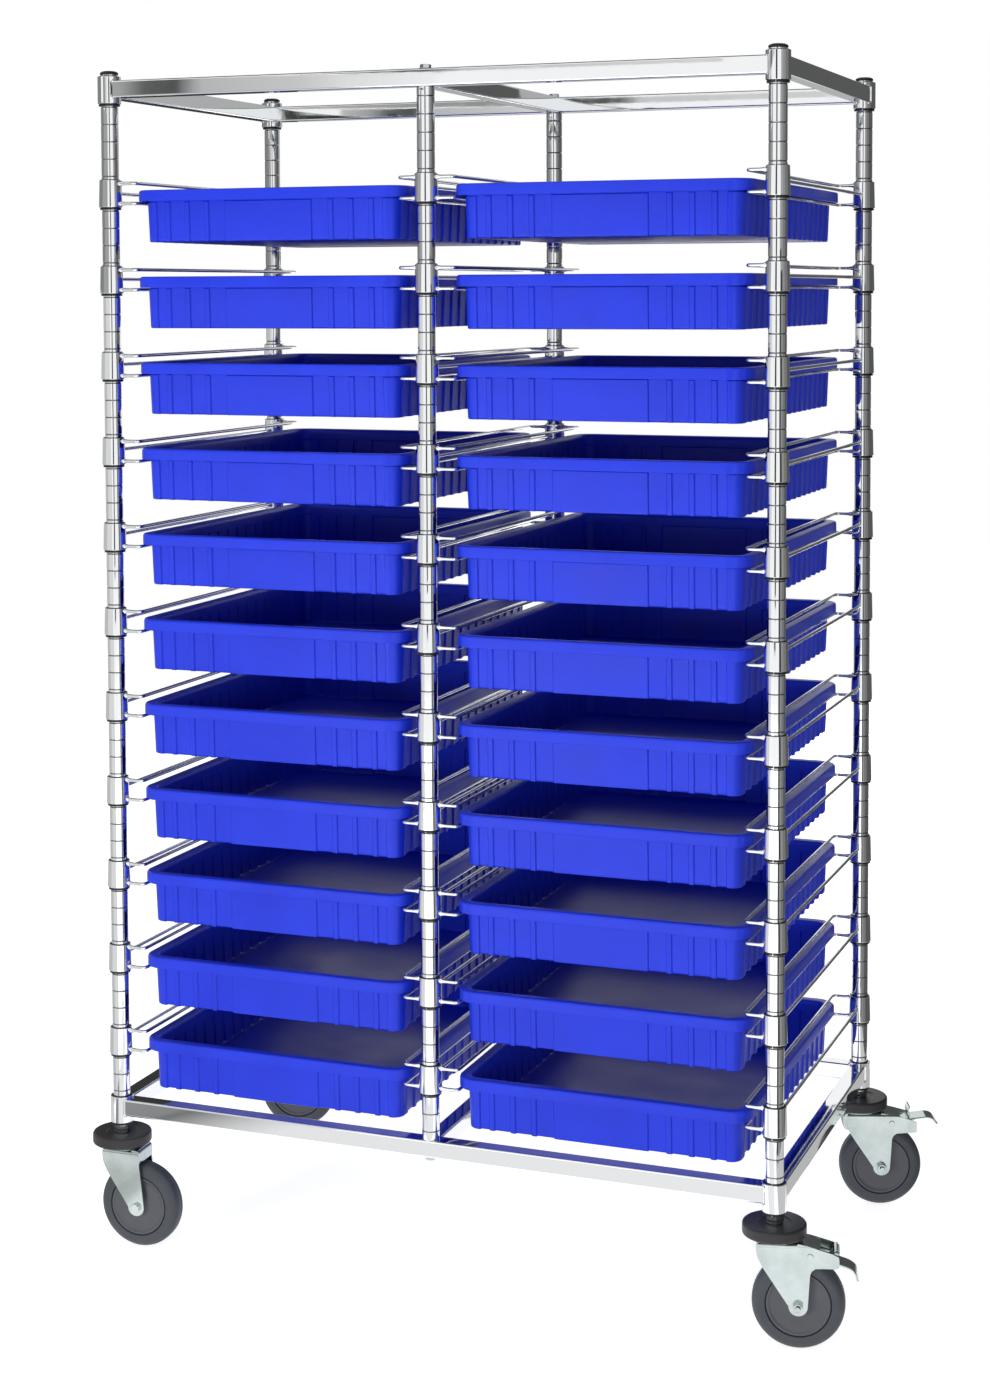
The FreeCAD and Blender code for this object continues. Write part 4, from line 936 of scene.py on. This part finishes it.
# Walls that the top tubes mirror: foot and top in metres, then brightness from direction to direction.
GRADED_WALLS = {
    "front_top": (1.76, 1.843, [(-137, 0.5), (-134, 0.38), (-132, 0.125), (-129.4, 0.09), (-127.3, 0.52),
                                (-119, 0.63), (-115.5, 0.8), (-108, 0.95)]),
    "front_band": (1.848, 1.9, [(-145, 0.4), (-119, 0.3), (-117, 0.1), (-108, 0.1), (-106, 0.6),
                                (-84, 0.7)]),
}
# A card on the floor that the bottom front tube mirrors: front and rear, then brightness from left to right.
FRONT_CARD = (-1.08, -0.68)
FRONT_CARD_LEVELS = [(-0.9, 0.3), (-0.755, 0.27), (-0.73, 0.19), (-0.6, 0.66), (-0.52, 0.87), (0.6, 0.93)]
# Grey cards on the floor, which the lower tubes mirror: left and right end, front and rear, brightness.
CARDS = {
    "card_right": (0.56, 1.5, 0.2, 0.9, 0.5),
    "card_right_front": (0.85, 1.5, -0.9, 0.2, 0.6),
    "card_rear": (-0.6, 0.55, 0.4, 0.9, 0.5),
    "card_far_left": (-1.3, -0.6, -0.6, 0.6, 0.7),
}
# The dark gap between the light panels in front: left and right edge, distance, foot, top, brightness.
GAP = (0.2, 0.7, -2.3, 0.75, 2.6, 0.04)
# A dark ceiling, which draws a line along the top edges of the tubes: in the same order as a card.
CEILING = (-1.2, 1.2, -1.3, 0.7, 0.12)
CEILING_HEIGHT, CARD_HEIGHT = 2.75, 0.002


def mirror_board(name, points, level):
    """A grey board that only mirrors see: a grid of points with one brightness, or one for each column."""
    level = np.broadcast_to(level, points.shape[:2]).astype(np.float32).ravel()
    points, quads = grid(points, ring=False)
    mesh = bpy.data.meshes.new(name)
    mesh.from_pydata(points.tolist(), [], quads.tolist())
    mesh.attributes.new("level", "FLOAT", "POINT").data.foreach_set("value", level)
    grey, tree, _, _ = new_finish(name)
    shade = add(tree, "Attribute", attribute_name="level")
    glow = add(tree, "Emission", {"Color": (1, 1, 1, 1)}, {"Strength": shade.outputs["Fac"]})
    tree.links.new(glow.outputs[0], tree.nodes["Material Output"].inputs["Surface"])
    mesh.materials.append(grey)
    board = bpy.data.objects.new(name, mesh)
    bpy.context.scene.collection.objects.link(board)
    board.visible_camera = board.visible_diffuse = board.visible_shadow = False


def curved_wall(directions, foot, top):
    """An upright wall round the cart: point = (radius * cos, radius * sin) of a direction, foot or top."""
    around = np.radians(directions)
    ring = WALL_RADIUS * np.column_stack([np.cos(around), np.sin(around)])
    return np.stack([np.column_stack([ring, np.full(len(ring), z)]) for z in (foot, top)])


for name, (first, last, foot, top, level) in WALLS.items():
    mirror_board(name, curved_wall(np.linspace(first, last, WALL_COLUMNS), foot, top), level)
for name, (foot, top, stations) in GRADED_WALLS.items():
    directions, levels = np.transpose(stations)
    mirror_board(name, curved_wall(directions, foot, top), levels)
across, levels = np.transpose(FRONT_CARD_LEVELS)
mirror_board("front_card", np.array([[(x, y, CARD_HEIGHT) for x in across] for y in FRONT_CARD]), levels)
level_boards = [(name, CARD_HEIGHT, card) for name, card in CARDS.items()]
level_boards.append(("ceiling", CEILING_HEIGHT, CEILING))
for name, z, (left, right, front, rear, level) in level_boards:
    mirror_board(name, np.array([[(x, y, z) for x in (left, right)] for y in (front, rear)]), level)
left, right, y, foot, top, level = GAP
mirror_board("gap", np.array([[(x, y, z) for x in (left, right)] for z in (foot, top)]), level)
print("boards:", sorted(WALLS) + sorted(GRADED_WALLS) + sorted(CARDS))

# %% Lamps
def aim(thing, place, target):
    """Put a lamp at a place and turn it so that its -z axis points at the target."""
    back = np.array(place, float) - target
    back /= np.linalg.norm(back)
    side = np.cross((0, 0, 1), back)
    side /= np.linalg.norm(side)
    matrix = np.eye(4)
    matrix[:3] = np.column_stack([side, np.cross(back, side), back, place])
    thing.matrix_world = Matrix(matrix)


# Name: place in metres, width and height of the panel, watts.
LAMPS = {
    "front_left_panel": ((-1.9, -4.4, 0.8), 1.6, 1.2, 119),
    "overhead_panel": ((-0.4, -1.6, 4.4), 2.5, 2.0, 40),
    "front_right_panel": ((2.5, -4.4, 0.9), 1.6, 1.2, 66),
    "rear_panel": ((0.3, 4.8, 1.1), 2.4, 1.6, 90),
}
for name, (place, width, height, watts) in LAMPS.items():
    lamp = bpy.data.lights.new(name, "AREA")
    lamp.shape, lamp.size, lamp.size_y, lamp.energy = "RECTANGLE", width, height, watts
    panel = bpy.data.objects.new(name, lamp)
    bpy.context.scene.collection.objects.link(panel)
    aim(panel, place, np.array([0, 0, 0.9]))
    panel.visible_glossy = False    # mirrors see the walls instead
bpy.context.scene.view_settings.view_transform = "Standard"
print("lamps:", {name: watts for name, (_, _, _, watts) in LAMPS.items()})
